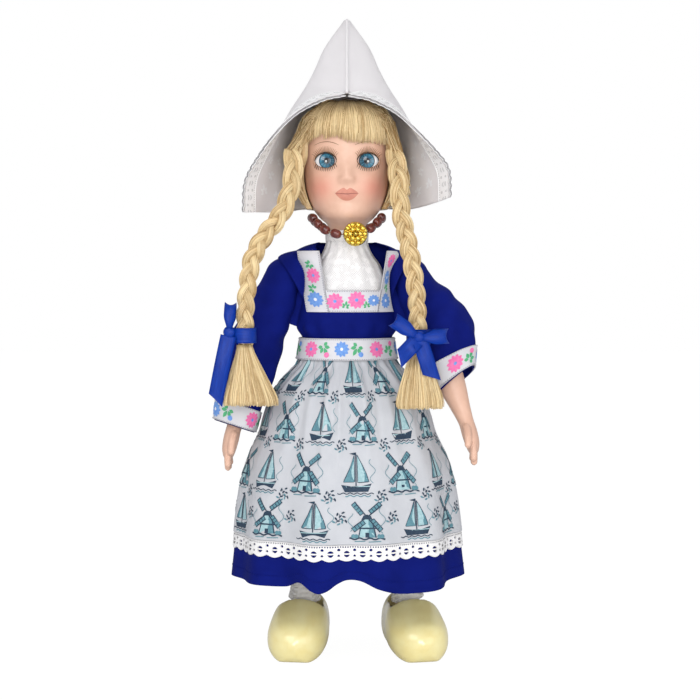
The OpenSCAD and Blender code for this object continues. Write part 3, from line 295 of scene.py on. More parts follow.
# %% [markdown]
# ## Shader sums
# Patterns are written as sums. A Wire holds one output of a node, and the usual signs add maths
# nodes behind it. Every other node comes from the one method `node`.


# %% The wire class
class Wire:
    def __init__(self, tree, out):
        self.tree, self.out = tree, out

    def plug(self, socket, value):
        if isinstance(value, Wire):
            self.tree.links.new(value.out, socket)
        elif value is not None:
            socket.default_value = value

    def node(self, kind, inputs=(), output=0, **settings):
        """Adds any node: inputs by name or number, settings as attributes."""
        new = self.tree.nodes.new(kind)
        for key, value in settings.items():
            setattr(new, key, value)
        for key, value in dict(inputs).items():
            self.plug(new.inputs[key], value)
        return Wire(self.tree, new.outputs[output])

    def sum(self, kind, *values):
        return self.node("ShaderNodeMath", enumerate(values), operation=kind)

    def __add__(self, other):
        return self.sum("ADD", self, other)

    def __sub__(self, other):
        return self.sum("SUBTRACT", self, other)

    def __rsub__(self, other):
        return self.sum("SUBTRACT", other, self)

    def __mul__(self, other):
        return self.sum("MULTIPLY", self, other)

    def __truediv__(self, other):
        return self.sum("DIVIDE", self, other)

    def __rtruediv__(self, other):
        return self.sum("DIVIDE", other, self)

    def __pow__(self, other):
        return self.sum("POWER", self, other)

    def __abs__(self):
        return self.sum("ABSOLUTE", self)

    __radd__, __rmul__ = __add__, __mul__

    def sin(self):
        return self.sum("SINE", self)

    def ease(self, low, high, start=0.0, end=1.0):
        """start below low, end above high, smooth between."""
        values = {"Value": self, "From Min": low, "From Max": high, "To Min": start, "To Max": end}
        return self.node("ShaderNodeMapRange", values, interpolation_type="SMOOTHSTEP")

    def mix(self, a, b):
        """Colour a where this is 0 and colour b where it is 1."""
        new = self.node("ShaderNodeMix", {0: self}, output=2, data_type="RGBA")
        for index, colour in ((6, a), (7, b)):
            self.plug(new.out.node.inputs[index], colour if isinstance(colour, Wire) else (*colour, 1))
        return new


print("wire class ready")


# %% Paints and often used nodes
def paint(name, roughness=0.5, **constants):
    """A new material: its Principled shader and a Wire to start sums from."""
    mat = bpy.data.materials.new(name)
    mat.use_nodes = True
    shader = mat.node_tree.nodes["Principled BSDF"]
    shader.inputs["Roughness"].default_value = roughness
    for key, value in constants.items():
        shader.inputs[key.replace("_", " ")].default_value = value
    return mat, shader, Wire(mat.node_tree, None)


def place(w, scale=1000.0, source="Object"):
    """x, y and z of the surface in millimetres."""
    out = w.node("ShaderNodeTexCoord").out.node.outputs[source]
    parts = w.node("ShaderNodeSeparateXYZ", {0: Wire(w.tree, out)}).out.node.outputs
    return [Wire(w.tree, p) * scale for p in parts]


def flat(w):
    """Flat place on a cloth, in millimetres."""
    return place(w, 100.0, "UV")[:2]


def at(w, x, y, z=0.0):
    return w.node("ShaderNodeCombineXYZ", {0: x, 1: y, 2: z})


def noise(w, where, scale, detail=2.0):
    return w.node("ShaderNodeTexNoise", {"Vector": where, "Scale": scale, "Detail": detail})


def speckle(w, scale, detail=2.0):
    """Noise by the place in the object."""
    out = w.node("ShaderNodeTexCoord").out.node.outputs["Object"]
    return noise(w, Wire(w.tree, out), scale, detail)


def field(w, name):
    return w.node("ShaderNodeAttribute", output=2, attribute_name=name)


def bump(w, shader, height, strength, distance=0.0002):
    values = {"Height": height, "Strength": strength, "Distance": distance}
    w.plug(shader.inputs["Normal"], w.node("ShaderNodeBump", values))


def coloured(w, shader, colour):
    w.plug(shader.inputs["Base Color"], colour)


print("paint tools ready")

# %% [markdown]
# ## Stage
# The doll stands on a plain white floor in soft light from four large panels. The camera looks
# from the front, a little downward. Floor and sky show white to the camera alone, so that the
# white ground adds no light to the doll.


# %% Camera, lights, floor and sky
def stage_paint(name, share):
    mat = bpy.data.materials.new(name)
    mat.use_nodes = True
    tree = mat.node_tree
    tree.nodes.remove(tree.nodes["Principled BSDF"])
    w = Wire(tree, None)
    grey = speckle(w, 40).ease(0, 1).mix((0.8,) * 3, (0.84,) * 3)
    dull = w.node("ShaderNodeBsdfDiffuse", {"Color": grey})
    glow = w.node("ShaderNodeEmission", {"Color": (1, 1, 1, 1), "Strength": 1.05})
    seen = w.node("ShaderNodeLightPath") * share
    both = w.node("ShaderNodeMixShader", {0: seen, 1: dull, 2: glow})
    w.plug(tree.nodes["Material Output"].inputs[0], both)
    return mat


FLOOR_HALF, FLOOR_Z = 3000, -0.05
corners = FLOOR_HALF * vec([-1, 1, 1, -1], [-1, -1, 1, 1], 0) + np.array([0, 0, FLOOR_Z])
floor = make("floor", corners, np.array([[0, 1, 2, 3]]), stage_paint("floor_white", 0.93))
scene = bpy.context.scene
world = bpy.data.worlds.new("sky")
world.use_nodes = True
scene.world = world
w = Wire(world.node_tree, None)
rays = w.node("ShaderNodeLightPath").out.node
white = Wire(w.tree, rays.outputs["Is Camera Ray"])
back = world.node_tree.nodes["Background"]
w.plug(back.inputs["Color"], white.mix((0.47, 0.475, 0.49), (1, 1, 1)))


def panel(name, where, target, size, power):
    light = bpy.data.lights.new(name, "AREA")
    light.size, light.energy = size, power
    obj = link(name, light)
    obj.location = [v * MM for v in where]
    way = np.array(target, float) - np.array(where, float)
    obj.rotation_euler = (math.atan2(math.hypot(way[0], way[1]), -way[2]), 0, math.atan2(-way[0], way[1]))
    return obj


lights = [
    panel("key", (-420, -760, 640), (0, 0, 170), 0.55, 3.2),
    panel("fill", (560, -700, 300), (0, 0, 150), 0.6, 1.9),
    panel("top", (0, 350, 800), (0, 0, 200), 0.6, 1.5),
    panel("front", (30, -1000, 230), (0, 0, 190), 0.35, 3.4),
]
lens = bpy.data.cameras.new("camera")
lens.lens, lens.sensor_width = 78.74, 36
camera = link("camera", lens)
camera.location = (0.0015, -0.75, 0.185)
camera.rotation_euler = (math.radians(87.25), 0, 0)
scene.camera = camera
scene.view_settings.view_transform = "Standard"
print("stage: floor, sky,", len(lights), "panels and a camera")

# %% [markdown]
# ## Materials
# Each surface is worked out from its place, so it needs no picture. Bisque is a soft matt clay with
# a little red rubbed in; cloths are a weave of two crossing sets of threads.


# %% Clay, glass and hair
BISQUE, s, w = paint("bisque", 0.46, Coat_Weight=0.12, Coat_Roughness=0.35)
skin = speckle(w, 260).ease(0.3, 0.7).mix((0.70, 0.43, 0.315), (0.73, 0.46, 0.34))
coloured(w, s, field(w, "blush").mix(skin, (0.72, 0.27, 0.20)))

GLASS, s, w = paint("glass_eye", 0.08, Coat_Weight=1.0)
EYE_Z, GAZE_X = 240.0, 9.5
x, _, z = place(w)
across, rise = abs(x) - GAZE_X, z - EYE_Z
reach = (across * across + rise * rise) ** 0.5
ray = noise(w, at(w, across / reach, rise / reach), 7.0, 3.0)
rays = (ray * 1.5 - 0.35 + (reach - 2.2) * 0.16).ease(0.2, 0.75)
iris = rays.mix((0.004, 0.04, 0.075), (0.045, 0.22, 0.33))
iris = reach.ease(3.1, 3.7).mix(iris, (0.006, 0.03, 0.06))
ball = reach.ease(3.7, 3.95).mix(iris, (0.80, 0.80, 0.81))
coloured(w, s, reach.ease(1.25, 1.5).mix((0.003, 0.004, 0.006), ball))

HAIR, s, w = paint("hair", 0.36, Specular_IOR_Level=0.35)
tone = field(w, "tone") + (speckle(w, 900) - 0.5) * 0.25
coloured(w, s, tone.ease(0.0, 1.0).mix((0.38, 0.205, 0.062), (0.94, 0.755, 0.44)))

BROWN, LIP, BLACK, RED = range(4)
FACE_INK, s, w = paint("face_paint", 0.5)
ink = field(w, "ink")
brown = (speckle(w, 700) - 0.5).ease(-0.3, 0.3).mix((0.16, 0.075, 0.03), (0.24, 0.12, 0.05))
lips = speckle(w, 500).ease(0.3, 0.7).mix((0.54, 0.205, 0.145), (0.60, 0.245, 0.175))
tint = ink.ease(0.45, 0.55).mix(brown, lips)
tint = ink.ease(1.45, 1.55).mix(tint, (0.012, 0.01, 0.01))
coloured(w, s, ink.ease(2.45, 2.55).mix(tint, (0.30, 0.09, 0.065)))
print("clay, glass, hair and face paint")

# %% [markdown]
# ## Cloth, lace and printed inks
# Dress, apron and cap are plain woven cotton, the bows satin and the socks knitted wool. Two crossed
# sine waves give the threads. Lace is a sheet whose alpha is cut by its pattern, because holes made one
# by one would take far more faces. A number on each patch of a print picks its ink.


# %% Cloths
def cloth_paint(name, low, high, pitch=0.55, roughness=0.75, depth=0.35, **constants):
    mat, s, w = paint(name, roughness, **constants)
    u, v = flat(w)
    cloud = noise(w, at(w, u * 0.01, v * 0.01), 9.0, 3.0)
    k = 2 * math.pi / pitch
    thread = (u * k).sin() * (v * k).sin()
    coloured(w, s, (cloud * 0.7 + thread * 0.15 + 0.15).ease(0.2, 0.8).mix(low, high))
    bump(w, s, thread + cloud * 2.0, depth)
    return mat


BLUES = (0.0015, 0.006, 0.125), (0.003, 0.010, 0.175)
DRESS = cloth_paint("dress_cloth", *BLUES, 0.5, 0.8, 0.3, Specular_IOR_Level=0.1)
APRON = cloth_paint("apron_cloth", (0.52, 0.535, 0.57), (0.60, 0.61, 0.64), 0.45, 0.8)
CAP = cloth_paint("cap_cloth", (0.74, 0.715, 0.725), (0.78, 0.755, 0.765), 0.5, 0.7)
MUSLIN = cloth_paint("body_cloth", (0.68, 0.56, 0.40), (0.75, 0.64, 0.48), 0.6, 0.85)
TRIM = cloth_paint("ribbon_trim", (0.64, 0.635, 0.67), (0.72, 0.715, 0.745), 0.4, 0.45)

SATIN, s, w = paint("satin", 0.4, Specular_IOR_Level=0.22)
u, v = flat(w)
rib = noise(w, at(w, u * 0.02, v * 3.0), 5.0, 2.0)
coloured(w, s, rib.ease(0.3, 0.7).mix((0.0005, 0.012, 0.17), (0.002, 0.05, 0.40)))
bump(w, s, rib, 0.25)

WOOL, s, w = paint("wool", 0.9, Sheen_Weight=0.2)
x, y, z = place(w)
turn = w.sum("ARCTAN2", x, y) * 11.0
stitch = (turn * 2.0).sin() * (z * 2.6 + (turn * 4.0).sin()).sin()
coloured(w, s, stitch.ease(-0.8, 0.8).mix((0.70, 0.67, 0.62), (0.84, 0.82, 0.78)))
bump(w, s, stitch, 0.8, 0.0005)
print("cotton, satin and wool")


# %% Lace
def lace_paint(name, ground, motif):
    """Knotted lace: alpha cut by a pattern of the flat place, down to the alpha of its ground."""
    mat, s, w = paint(name, 0.8)
    u, v = flat(w)
    thread = noise(w, at(w, u * 0.3, v * 0.3), 8.0).ease(0.3, 0.7)
    coloured(w, s, thread.mix((0.80, 0.79, 0.79), (0.86, 0.85, 0.85)))
    holes = motif(w, u, v)
    w.plug(s.inputs["Alpha"], holes if ground is None else holes.ease(0, 1, ground, 1.0))
    return mat


def oval_hole(u, v, wide, high, soft):
    """0 in an oval and 1 outside it."""
    return ((u / wide) ** 2.0 + (v / high) ** 2.0).ease(1 - soft, 1 + soft)


SCALLOP = 3.5


def medallions(w, u, v):
    """Border lace: a ladder, rings with two slots each, small gaps between, and a close edge."""
    near = w.sum("PINGPONG", u, SCALLOP)
    slots = oval_hole(near, v - 4.1, 1.35, 1.5, 0.15)
    slots = w.sum("MAXIMUM", slots, abs(v - 4.1).ease(0.25, 0.4, 1.0, 0.0))
    gaps = oval_hole(near - SCALLOP, v - 2.5, 0.7, 0.75, 0.2)
    low = oval_hole(near - SCALLOP, v - 5.6, 0.6, 0.6, 0.2)
    bars = w.sum("PINGPONG", u, 0.55).ease(0.2, 0.32, 1.0, 0.0)
    ladder = w.sum("MAXIMUM", bars, abs(v - 0.9).ease(0.3, 0.42))
    return w.sum("MINIMUM", w.sum("MINIMUM", slots, gaps), w.sum("MINIMUM", low, ladder))


def net(w, u, v):
    """Fine net with closer worked patches."""
    k = 2 * math.pi / 1.1
    mesh = w.sum("MAXIMUM", ((u + v) * k).sin(), ((u - v) * k).sin()).ease(0.2, 0.6)
    patch = noise(w, at(w, u * 0.1, v * 0.1), 3.2, 3.0).ease(0.5, 0.56)
    return w.sum("MAXIMUM", mesh, patch)


LACE = lace_paint("lace", None, medallions)
RIM_LACE = lace_paint("rim_lace", 0.72, medallions)
NET = lace_paint("lace_net", 0.72, net)
print("lace, with a scallop every", 2 * SCALLOP, "mm")

# %% Inks
NAVY, TEAL, PALE, PINK, BLUE, GREEN, GREY, WHITE = range(8)
PRINT, s, w = paint("print_ink", 0.75)
ink = field(w, "ink")
fade = speckle(w, 900, 3.0).ease(0.25, 0.75)
inks = [
    ((0.010, 0.028, 0.055), (0.022, 0.05, 0.09)),
    ((0.08, 0.20, 0.25), (0.12, 0.28, 0.33)),
    ((0.28, 0.46, 0.50), (0.40, 0.58, 0.61)),
    ((0.80, 0.13, 0.36), (0.86, 0.22, 0.46)),
    ((0.12, 0.27, 0.66), (0.18, 0.36, 0.74)),
    ((0.06, 0.36, 0.16), (0.11, 0.46, 0.22)),
    ((0.34, 0.34, 0.38), (0.42, 0.42, 0.46)),
    ((0.80, 0.80, 0.82), (0.86, 0.86, 0.87)),
]
tint = fade.mix(*inks[0])
for number, pair in enumerate(inks[1:]):
    tint = ink.ease(number + 0.45, number + 0.55).mix(tint, fade.mix(*pair))
coloured(w, s, tint)
print(len(inks), "inks")

# %% [markdown]
# ## Wood and small finishes
# The clogs are varnished pale wood with the grain along the foot, so the noise is drawn out along y.
# Beads, gilt and cord are small, and a mottled tone is all that shows of them.

# %% Wood, beads and metal
WOOD, s, w = paint("clog_wood", 0.3, Coat_Weight=0.6, Coat_Roughness=0.15)
x, y, z = place(w)
growth = noise(w, at(w, x * 0.12, y * 0.015, z * 0.12), 1.6, 3.0)
coloured(w, s, (growth * 1.2 - 0.1).ease(0.2, 0.8).mix((0.84, 0.72, 0.32), (0.88, 0.79, 0.40)))


def mottled(name, roughness, scale, low, high, detail=2.0, **constants):
    """A paint of two tones in fine spots."""
    mat, s, w = paint(name, roughness, **constants)
    coloured(w, s, speckle(w, scale, detail).ease(0.3, 0.7).mix(low, high))
    return mat


BEAD = mottled("bead", 0.28, 420, (0.075, 0.010, 0.008), (0.17, 0.028, 0.017), 3.0, Coat_Weight=0.5)
GOLD = mottled("gold", 0.24, 800, (0.72, 0.49, 0.06), (0.86, 0.66, 0.15), Metallic=1.0)
CORD = mottled("cord", 0.8, 900, (0.24, 0.16, 0.10), (0.34, 0.25, 0.17))
PLASTER = mottled("plaster", 0.9, 300, (0.78, 0.76, 0.70), (0.85, 0.83, 0.78))
CARD = mottled("card", 0.9, 300, (0.45, 0.32, 0.2), (0.52, 0.38, 0.25))
print("wood, beads, gold, cord, plaster and card")

# %% [markdown]
# ## Drawings on surfaces
# Printed and painted motifs are thin patches laid just above a surface. They are drawn flat in
# millimetres, then carried to their place by a function of the surface. A picture texture would be
# shorter, but patches stay sharp at any size and need no file.


# %% The print class
LAYER, LAYERS_TOP = 0.004, 0.2


class Print:
    """Patches in layers, each a little above the one before."""

    def __init__(self, surface, lift=0.15):
        self.surface, self.lift, self.count = surface, lift, 0
        self.points, self.faces, self.inks, self.heights = [], [], [], []
        self.level = 0.0

    def rows(self, rows, ink):
        """A patch through rows of flat points."""
        rows = np.asarray(rows, float)
        points = rows.reshape(-1, 2)
        self.faces.append(grid_faces(rows.shape[0], rows.shape[1], start=self.count))
        self.points.append(points)
        self.inks.append(np.full(len(points), float(ink)))
        self.heights.append(np.full(len(points), self.level))
        self.level = min(self.level + LAYER, LAYERS_TOP)
        self.count += len(points)

    def stroke(self, mid, way, wide, ink):
        """A patch of a given half width along points that run one way."""
        off = np.stack([-way[1] * wide, way[0] * wide], -1)
        self.rows([mid - off, mid + off], ink)

    def line(self, points, width, ink, step=0.8):
        p = np.asarray(points, float)
        far = lengths(p)
        run = np.linspace(0, far[-1], max(int(far[-1] / step) + 2, len(p)))
        q = np.stack([np.interp(run, far, p[:, k]) for k in (0, 1)], -1)
        way = unit(np.gradient(q, axis=0))
        wide = np.interp(run / max(far[-1], 1e-6), np.linspace(0, 1, np.size(width)), np.atleast_1d(width))
        side = np.stack([-way[:, 1], way[:, 0]], -1) * wide[:, None] / 2
        self.rows([q - side, q + side], ink)

    def area(self, outline, ink):
        o = np.asarray(outline, float)
        o = np.concatenate([o, o[:1]])
        c = o[:-1].mean(0)
        self.rows([c + k * (o - c) for k in (0.01, 0.35, 0.7, 1)], ink)

    def disc(self, centre, radius, ink, n=14):
        a = np.arange(n) * 2 * np.pi / n
        self.area(np.stack([centre[0] + radius * np.cos(a), centre[1] + radius * np.sin(a)], -1), ink)

    def build(self, name, paint):
        flat_place = np.concatenate(self.points)
        low = self.surface(flat_place[:, 0], flat_place[:, 1], self.lift)
        high = self.surface(flat_place[:, 0], flat_place[:, 1], self.lift + 0.5)
        low = low + (high - low) * 2 * np.concatenate(self.heights)[:, None]
        faces = np.concatenate(self.faces)
        p = low[faces]
        normal = np.cross(p[:, 2] - p[:, 0], p[:, 3] - p[:, 1])
        back = np.sum(normal * (high - low)[faces[:, 0]], -1) < 0
        faces[back] = faces[back][:, ::-1]
        return make(name, low, faces, paint, flat_place * 0.01, {"ink": np.concatenate(self.inks)})


print("print class ready")

# %% [markdown]
# ## Head and face
# The head is cast in a mould, so it is one smooth form of rings from the shoulder plate to the brow.
# Nose, lips, chin and cheeks are soft swellings of the front. The lids stand a little before the
# glass, and the openings fall behind it.

# %% Head
CHIN, MOUTH_Z = 210.6, 224.2
EYE_X, EYE_Y, EYE_R = 10.1, -12.2, 6.2
LID, LID_HALF, LID_TOP, LID_LOW, LID_EDGE = 0.45, 5.2, 3.75, -3.35, 6.0
HEAD_ROWS = [
    (173, (19.6, 15.8, 15.8)), (179, (19.2, 15.6, 15.6)), (185, (17.6, 14.2, 14.2)),
    (191, (15, 12, 12)), (196, (11.4, 10.4, 10.4)), (200, (9.6, 9.4, 9.4)), (204, (8.8, 8.8, 8.8)),
    (208.2, (9, 9.4, 9)), (210.6, (9.87, 14.19, 10.29)), (213.3, (13.02, 18.7, 13.72)),
    (218.4, (16.8, 20.43, 18.38)), (225.6, (19.53, 21.18, 22.05)), (232.8, (20.66, 21.5, 23.77)),
    (240.6, (21, 21.18, 24.5)), (249, (21, 21.5, 24.5)), (257.4, (19.66, 20.43, 23.03)),
    (264, (16.17, 16.99, 19.36)), (268.8, (9.24, 9.89, 11.27)), (270.6, (3.36, 3.66, 4.17)),
]


def oval(v, a, grow, z):
    """A ring about the upright axis; angles run from the front."""
    c = cosd(a)
    return vec((v[..., 0] + grow) * sind(a), -(np.where(c > 0, v[..., 1], v[..., 2]) + grow) * c, z)


def on_head(a, z, grow):
    return oval(curve(HEAD_ROWS, z), a, grow, z)


def relief(x, z):
    """How far nose, lips, chin and cheeks stand out of the plain head."""
    h = z - CHIN
    up = h - 21.3
    return (
        2.9 * bell(x, 3.1) * np.where(up > 0, bell(up, 7), bell(up, 3.0))
        + 0.7 * bell(np.abs(x) - 2.7, 1.3) * bell(h - 20.2, 1.7)
        + 0.9 * bell(x, 4.6) * bell(h - 13.3, 2.3)
        - 0.25 * bell(x, 0.8) * bell(h - 17, 1.8)
        - 0.3 * bell(x, 4) * bell(h - 9.4, 1.2)
        + 0.9 * bell(x, 6) * bell(h - 4.2, 3.4)
        + 0.7 * bell(np.abs(x) - 12, 5) * bell(h - 16.8, 6)
        - 2.2 * bell(np.abs(x) - EYE_X, 5) * bell(z - EYE_Z, 4.6)
    )


def lid(d, rise):
    """Edge of a lid; d runs from the middle of the eye."""
    return rise * np.clip(1 - (d / LID_HALF) ** 2, 0, 1) ** 0.62


def eye_front(d, h):
    return EYE_Y - np.sqrt(np.clip(EYE_R**2 - d * d - h * h, 0, None))


def with_lids(x, y, z):
    """Depth of the face with its lids before the eyeball and its openings behind it."""
    d, h = np.abs(x) - EYE_X, z - EYE_Z
    ball = eye_front(d, h)
    near = d * d + h * h < EYE_R**2
    before = ball - LID * ease(EYE_R - np.hypot(d, h), 0, 1.2)
    shut = np.where(near & (y < 0), np.minimum(y, before), y)
    hole = (np.abs(d) < LID_HALF) & (h < lid(d, LID_TOP)) & (h > lid(d, LID_LOW)) & (y < 0)
    return np.where(hole, ball + 1.2, shut)


def on_face(x, z, lift):
    """The front of the face at x and z, lifted toward the viewer."""
    v = curve(HEAD_ROWS, z)
    u = np.clip(x / v[..., 0], -0.98, 0.98)
    y = -v[..., 1] * np.sqrt(1 - u * u) - relief(x, z)
    d, h = np.abs(x) - EYE_X, z - EYE_Z
    near = d * d + h * h < LID_EDGE**2
    return vec(x, np.where(near, np.minimum(y, eye_front(d, h) - LID), y) - lift, z)


turn = np.arange(300) * 1.2
turn = turn - 0.6 * sind(turn) * 180 / np.pi
bands = [(173, 205, 16), (206, 225, 46), (225.28, 256, 110), (257, 263.4, 10)]
levels = np.concatenate([np.linspace(*k) for k in bands])
A, Z = np.meshgrid(turn, levels)
P = on_head(A, Z, 0)
P[..., 1] -= np.where(cosd(A) > 0, relief(P[..., 0], Z), 0)
P[..., 1] = with_lids(P[..., 0], P[..., 1], Z)
cheek = bell(np.abs(P[..., 0]) - 12.8, 6.5) * bell(Z - 227, 6) * (P[..., 1] < 0)
points, faces = closed_loft(P)
head = make("head", points, faces, BISQUE, fields={"blush": np.append(cheek.ravel() * 0.7, [0, 0])})
put(head, "torso", "bisque", "shoulder_head")

# %% [markdown]
# ## Eyes
# Blown glass balls are set behind the openings. A UV sphere would do as well; rings about the line of
# sight keep the poles at front and back, where the pupil hides one.

# %% Eyes
for side, s in SIDES.items():
    A, E = np.meshgrid(np.arange(40) * 9.0, np.linspace(-88, 88, 30))
    P = vec(cosd(E) * cosd(A), sind(E), cosd(E) * sind(A)) * EYE_R + np.array([s * EYE_X, EYE_Y, EYE_Z])
    put(make("eyeball_" + side, *closed_loft(P), GLASS), "torso", "glass_eye", "eye_" + side)

# %% [markdown]
# ## Painted face
# Lips, brows and lashes are brushed on the bisque before its last firing. They are prints here: each
# stroke is a thin patch that tapers as a brush stroke does.

# %% Painted face
face, seam = Print(on_face, 0.12), Print(on_face, 0.2)
t = np.linspace(-1, 1, 31)
far, x = np.abs(t), 5.6 * t
upper = 1.0 + 1.6 * (1 - t**2) ** 0.8 - 0.75 * bell(t, 0.16) + 0.35 * bell(far - 0.3, 0.2) - far**3
middle = -0.15 * bell(t, 0.25) + 0.25 * far**2
lower = -3.3 * (1 - far**2.2) + 0.25 * far**2
for k in np.linspace(0, 0.8, 5):
    for edge in (upper, lower):
        face.rows([vec(x, MOUTH_Z + middle + q * (edge - middle)) for q in (k, k + 0.2)], LIP)
seam.line(vec(x * 0.97, MOUTH_Z + middle), [0.15, 0.38, 0.5, 0.38, 0.15], RED)
for s in (-1, 1):
    d = np.linspace(-LID_HALF, LID_HALF, 40)
    edge = s * (EYE_X + d)
    seam.line(vec(edge, EYE_Z + lid(d, LID_TOP) + 0.12), [0.35, 0.75, 0.85, 0.75, 0.4], BLACK, 0.3)
    seam.line(vec(edge, EYE_Z + lid(d, LID_LOW) - 0.1), [0.3, 0.25, 0.25, 0.3], BROWN, 0.3)
    d = np.linspace(-6.2, 5.6, 24)
    brow = vec(s * (EYE_X + d), 247.3 + 1.6 * (1 - (d / 6) ** 2))
    seam.line(brow, [0.12, 0.3, 0.32, 0.22, 0.1], BROWN, 0.4)
    for k in np.linspace(-0.92, 0.92, 18):
        root = np.array([s * (EYE_X + 5.0 * k), EYE_Z + lid(5.0 * k, LID_TOP)])
        tip = root + np.array([s * (k * 2.1 + 0.3), 3.3 * (1 - 0.35 * abs(k))])
        bow = (root + tip) / 2 + np.array([-s * 0.3 * k, 0.2])
        seam.line([root, bow, tip], [0.3, 0.22, 0.08], BROWN, 0.5)
    for k in np.linspace(-0.9, 0.9, 13):
        root = np.array([s * (EYE_X + 5.1 * k), EYE_Z + lid(5.1 * k, LID_LOW) - 0.25])
        seam.line([root, root + np.array([s * k * 0.9, -1.5 - 0.3 * abs(k)])], [0.36, 0.14], BLACK, 0.5)
put(face.build("lips", FACE_INK), "torso", "bisque")
put(seam.build("lashes", FACE_INK), "torso", "bisque")

# %% [markdown]
# ## Hair
# The wig is many fine rods over a soft base. A particle system could grow it; plain rods with a tone
# each are lighter and ride with the plaits. Each plait has three strands that pass over and under
# each other: their centres run on a flat figure of eight, a third of a turn apart.


# %% Hair tools
ROD = 0.17


def hairs(name, parts, body, node):
    """One piece of hair from parts that hold points, faces and tones."""
    points, faces, tone = join(parts)
    put(make(name, points, faces, HAIR, fields={"tone": tone}), body, "hair", node)


def strands(paths, radius, tone, sides=3):
    """Thin rods with one tone each, as a part."""
    return *tubes(paths, radius, sides), np.repeat(np.asarray(tone, float), paths.shape[1] * sides)


def bend(a, mid, b, steps):
    """Curved paths from a to b through mid."""
    t = np.linspace(0, 1, steps)[None, :, None]
    c = 2 * mid - (a + b) / 2
    return (1 - t) ** 2 * a[:, None] + 2 * t * (1 - t) * c[:, None] + t**2 * b[:, None]


PLAITS = {
    "right": [
        (0, (-25.4, -16.3, 244.6)), (0.14, (-26, -23.4, 228.6)), (0.28, (-31, -25, 214.6)),
        (0.42, (-38.6, -26, 204.6)), (0.56, (-44.4, -26.6, 193.6)), (0.7, (-46.8, -27, 180.6)),
        (0.85, (-48, -27, 166.6)), (1, (-48.4, -27, 153.2)),
    ],
    "left": [
        (0, (22.9, -14.2, 244.6)), (0.14, (24.4, -23.4, 230.6)), (0.28, (25.6, -25.6, 214.6)),
        (0.42, (28.4, -26.6, 202.6)), (0.56, (30.8, -27.2, 190.6)), (0.7, (32.6, -27.8, 177.6)),
        (0.85, (33.5, -28.4, 164.6)), (1, (33.7, -29, 152.6)),
    ],
}


PLAIT_LONG, TURN_LONG, STRAND_HALF, STRAND_DEEP = 94, 26, 2.75, 1.55


def strand(side, u, k):
    """Centre of strand k along a plait."""
    rows = PLAITS[side]
    along = unit(curve(rows, np.minimum(u + 0.01, 1)) - curve(rows, np.maximum(u - 0.01, 0)))
    wide = unit(np.cross(along, [0, 1, 0]))
    a = 360 * u * PLAIT_LONG / TURN_LONG + 120 * k
    over = wide * (STRAND_HALF * (1 - 0.12 * u) * sind(a))[..., None]
    return curve(rows, u) + over + np.cross(along, wide) * (STRAND_DEEP * sind(2 * a))[..., None]


print(f"plaits: {PLAIT_LONG} mm long, a turn in {TURN_LONG} mm")

# %% [markdown]
# ## Wig and fringe
# The hair is sewn to a cap and combed from the crown. A sheet lies under the rods, so that no skin
# shows between them. The rods of the fringe gather in clumps, as combed hair does.


# %% Wig and fringe
def hair_edge(z):
    """Angle from the front at which the wig starts."""
    return 76 - 18 / (1 + np.exp(-(z - CHIN - 28) * 0.6))


def swell(a, z):
    return 3.0 * bell(z - CHIN - 24, 14) * np.abs(sind(a))


levels = np.linspace(217.6, 269.4, 44)
A = np.array([np.linspace(hair_edge(z), 360 - hair_edge(z), 140) for z in levels])
Z = np.broadcast_to(levels[:, None], A.shape)
V, top = curve(HEAD_ROWS, Z), np.where(Z > 268, 2.4, 0)
grain = np.broadcast_to(RNG.random(140), A.shape) * 0.5 + 0.2
base = shell(oval(V, A, 2.8 + swell(A, Z), Z + top), oval(V, A, 0.8, Z + top * 0.4))
parts = [(*base, np.concatenate([grain.ravel()] * 2))]
n = 900
a = RNG.uniform(62, 298, n)
steps = np.linspace(0, 1, 20)
z = 269 - steps[None] * RNG.uniform(34, 50, n)[:, None]
a = a[:, None] + steps[None] * (180 - a[:, None]) * -0.05
grow = 2.9 + swell(a, z) + RNG.uniform(-0.2, 0.25, n)[:, None]
parts.append(strands(on_head(a, z, grow), ROD, RNG.uniform(0.1, 1, n)))
hairs("wig", parts, "torso", "hair_cap")

EDGE = [(-80, 247.5), (-57, 249), (-35, 251.5), (-10, 250.6), (8, 249.4), (40, 249.2), (80, 246.5)]
A, U = np.meshgrid(np.linspace(-60, 60, 90), np.linspace(0, 1, 14))
Z = curve(EDGE, A) + 1.2 + U * (267.5 - curve(EDGE, A))
base = shell(on_head(A, Z, 1.2 + 1.2 * U), on_head(A, Z, 0.8))
parts = [(*base, np.tile(RNG.uniform(0.35, 0.7, 90), 28))]
n = 900
a0 = RNG.uniform(-62, 62, n)
clump = np.round(a0 / 5 + RNG.normal(0, 0.6, n)).astype(int)
look = RNG.random(60)
a1 = np.clip(a0 + RNG.normal(0, 3, n) + 5 * (look[clump % 60] - 0.5), -64, 64)
a = a0[:, None] * 0.9 + (a1 - a0 * 0.9)[:, None] * steps[None] ** 0.8
end = curve(EDGE, a1) + RNG.uniform(-1.0, 1.8, n) + 2.4 * (look[(clump * 7) % 60] - 0.5)
z = 269 + (end - 269)[:, None] * steps[None]
grow = np.interp(steps, [0, 0.4, 0.8, 1], [3.0, 3.1, 2.4, 1.5])[None]
grow = grow + RNG.uniform(-0.35, 0.35, n)[:, None]
tone = np.clip(0.3 + 0.45 * look[(clump * 3) % 60] + RNG.uniform(-0.15, 0.4, n), 0, 1)
thin = np.interp(steps, [0, 0.8, 1], [0.18, 0.17, 0.05])
parts.append(strands(on_head(a, z, grow), thin[None], tone))
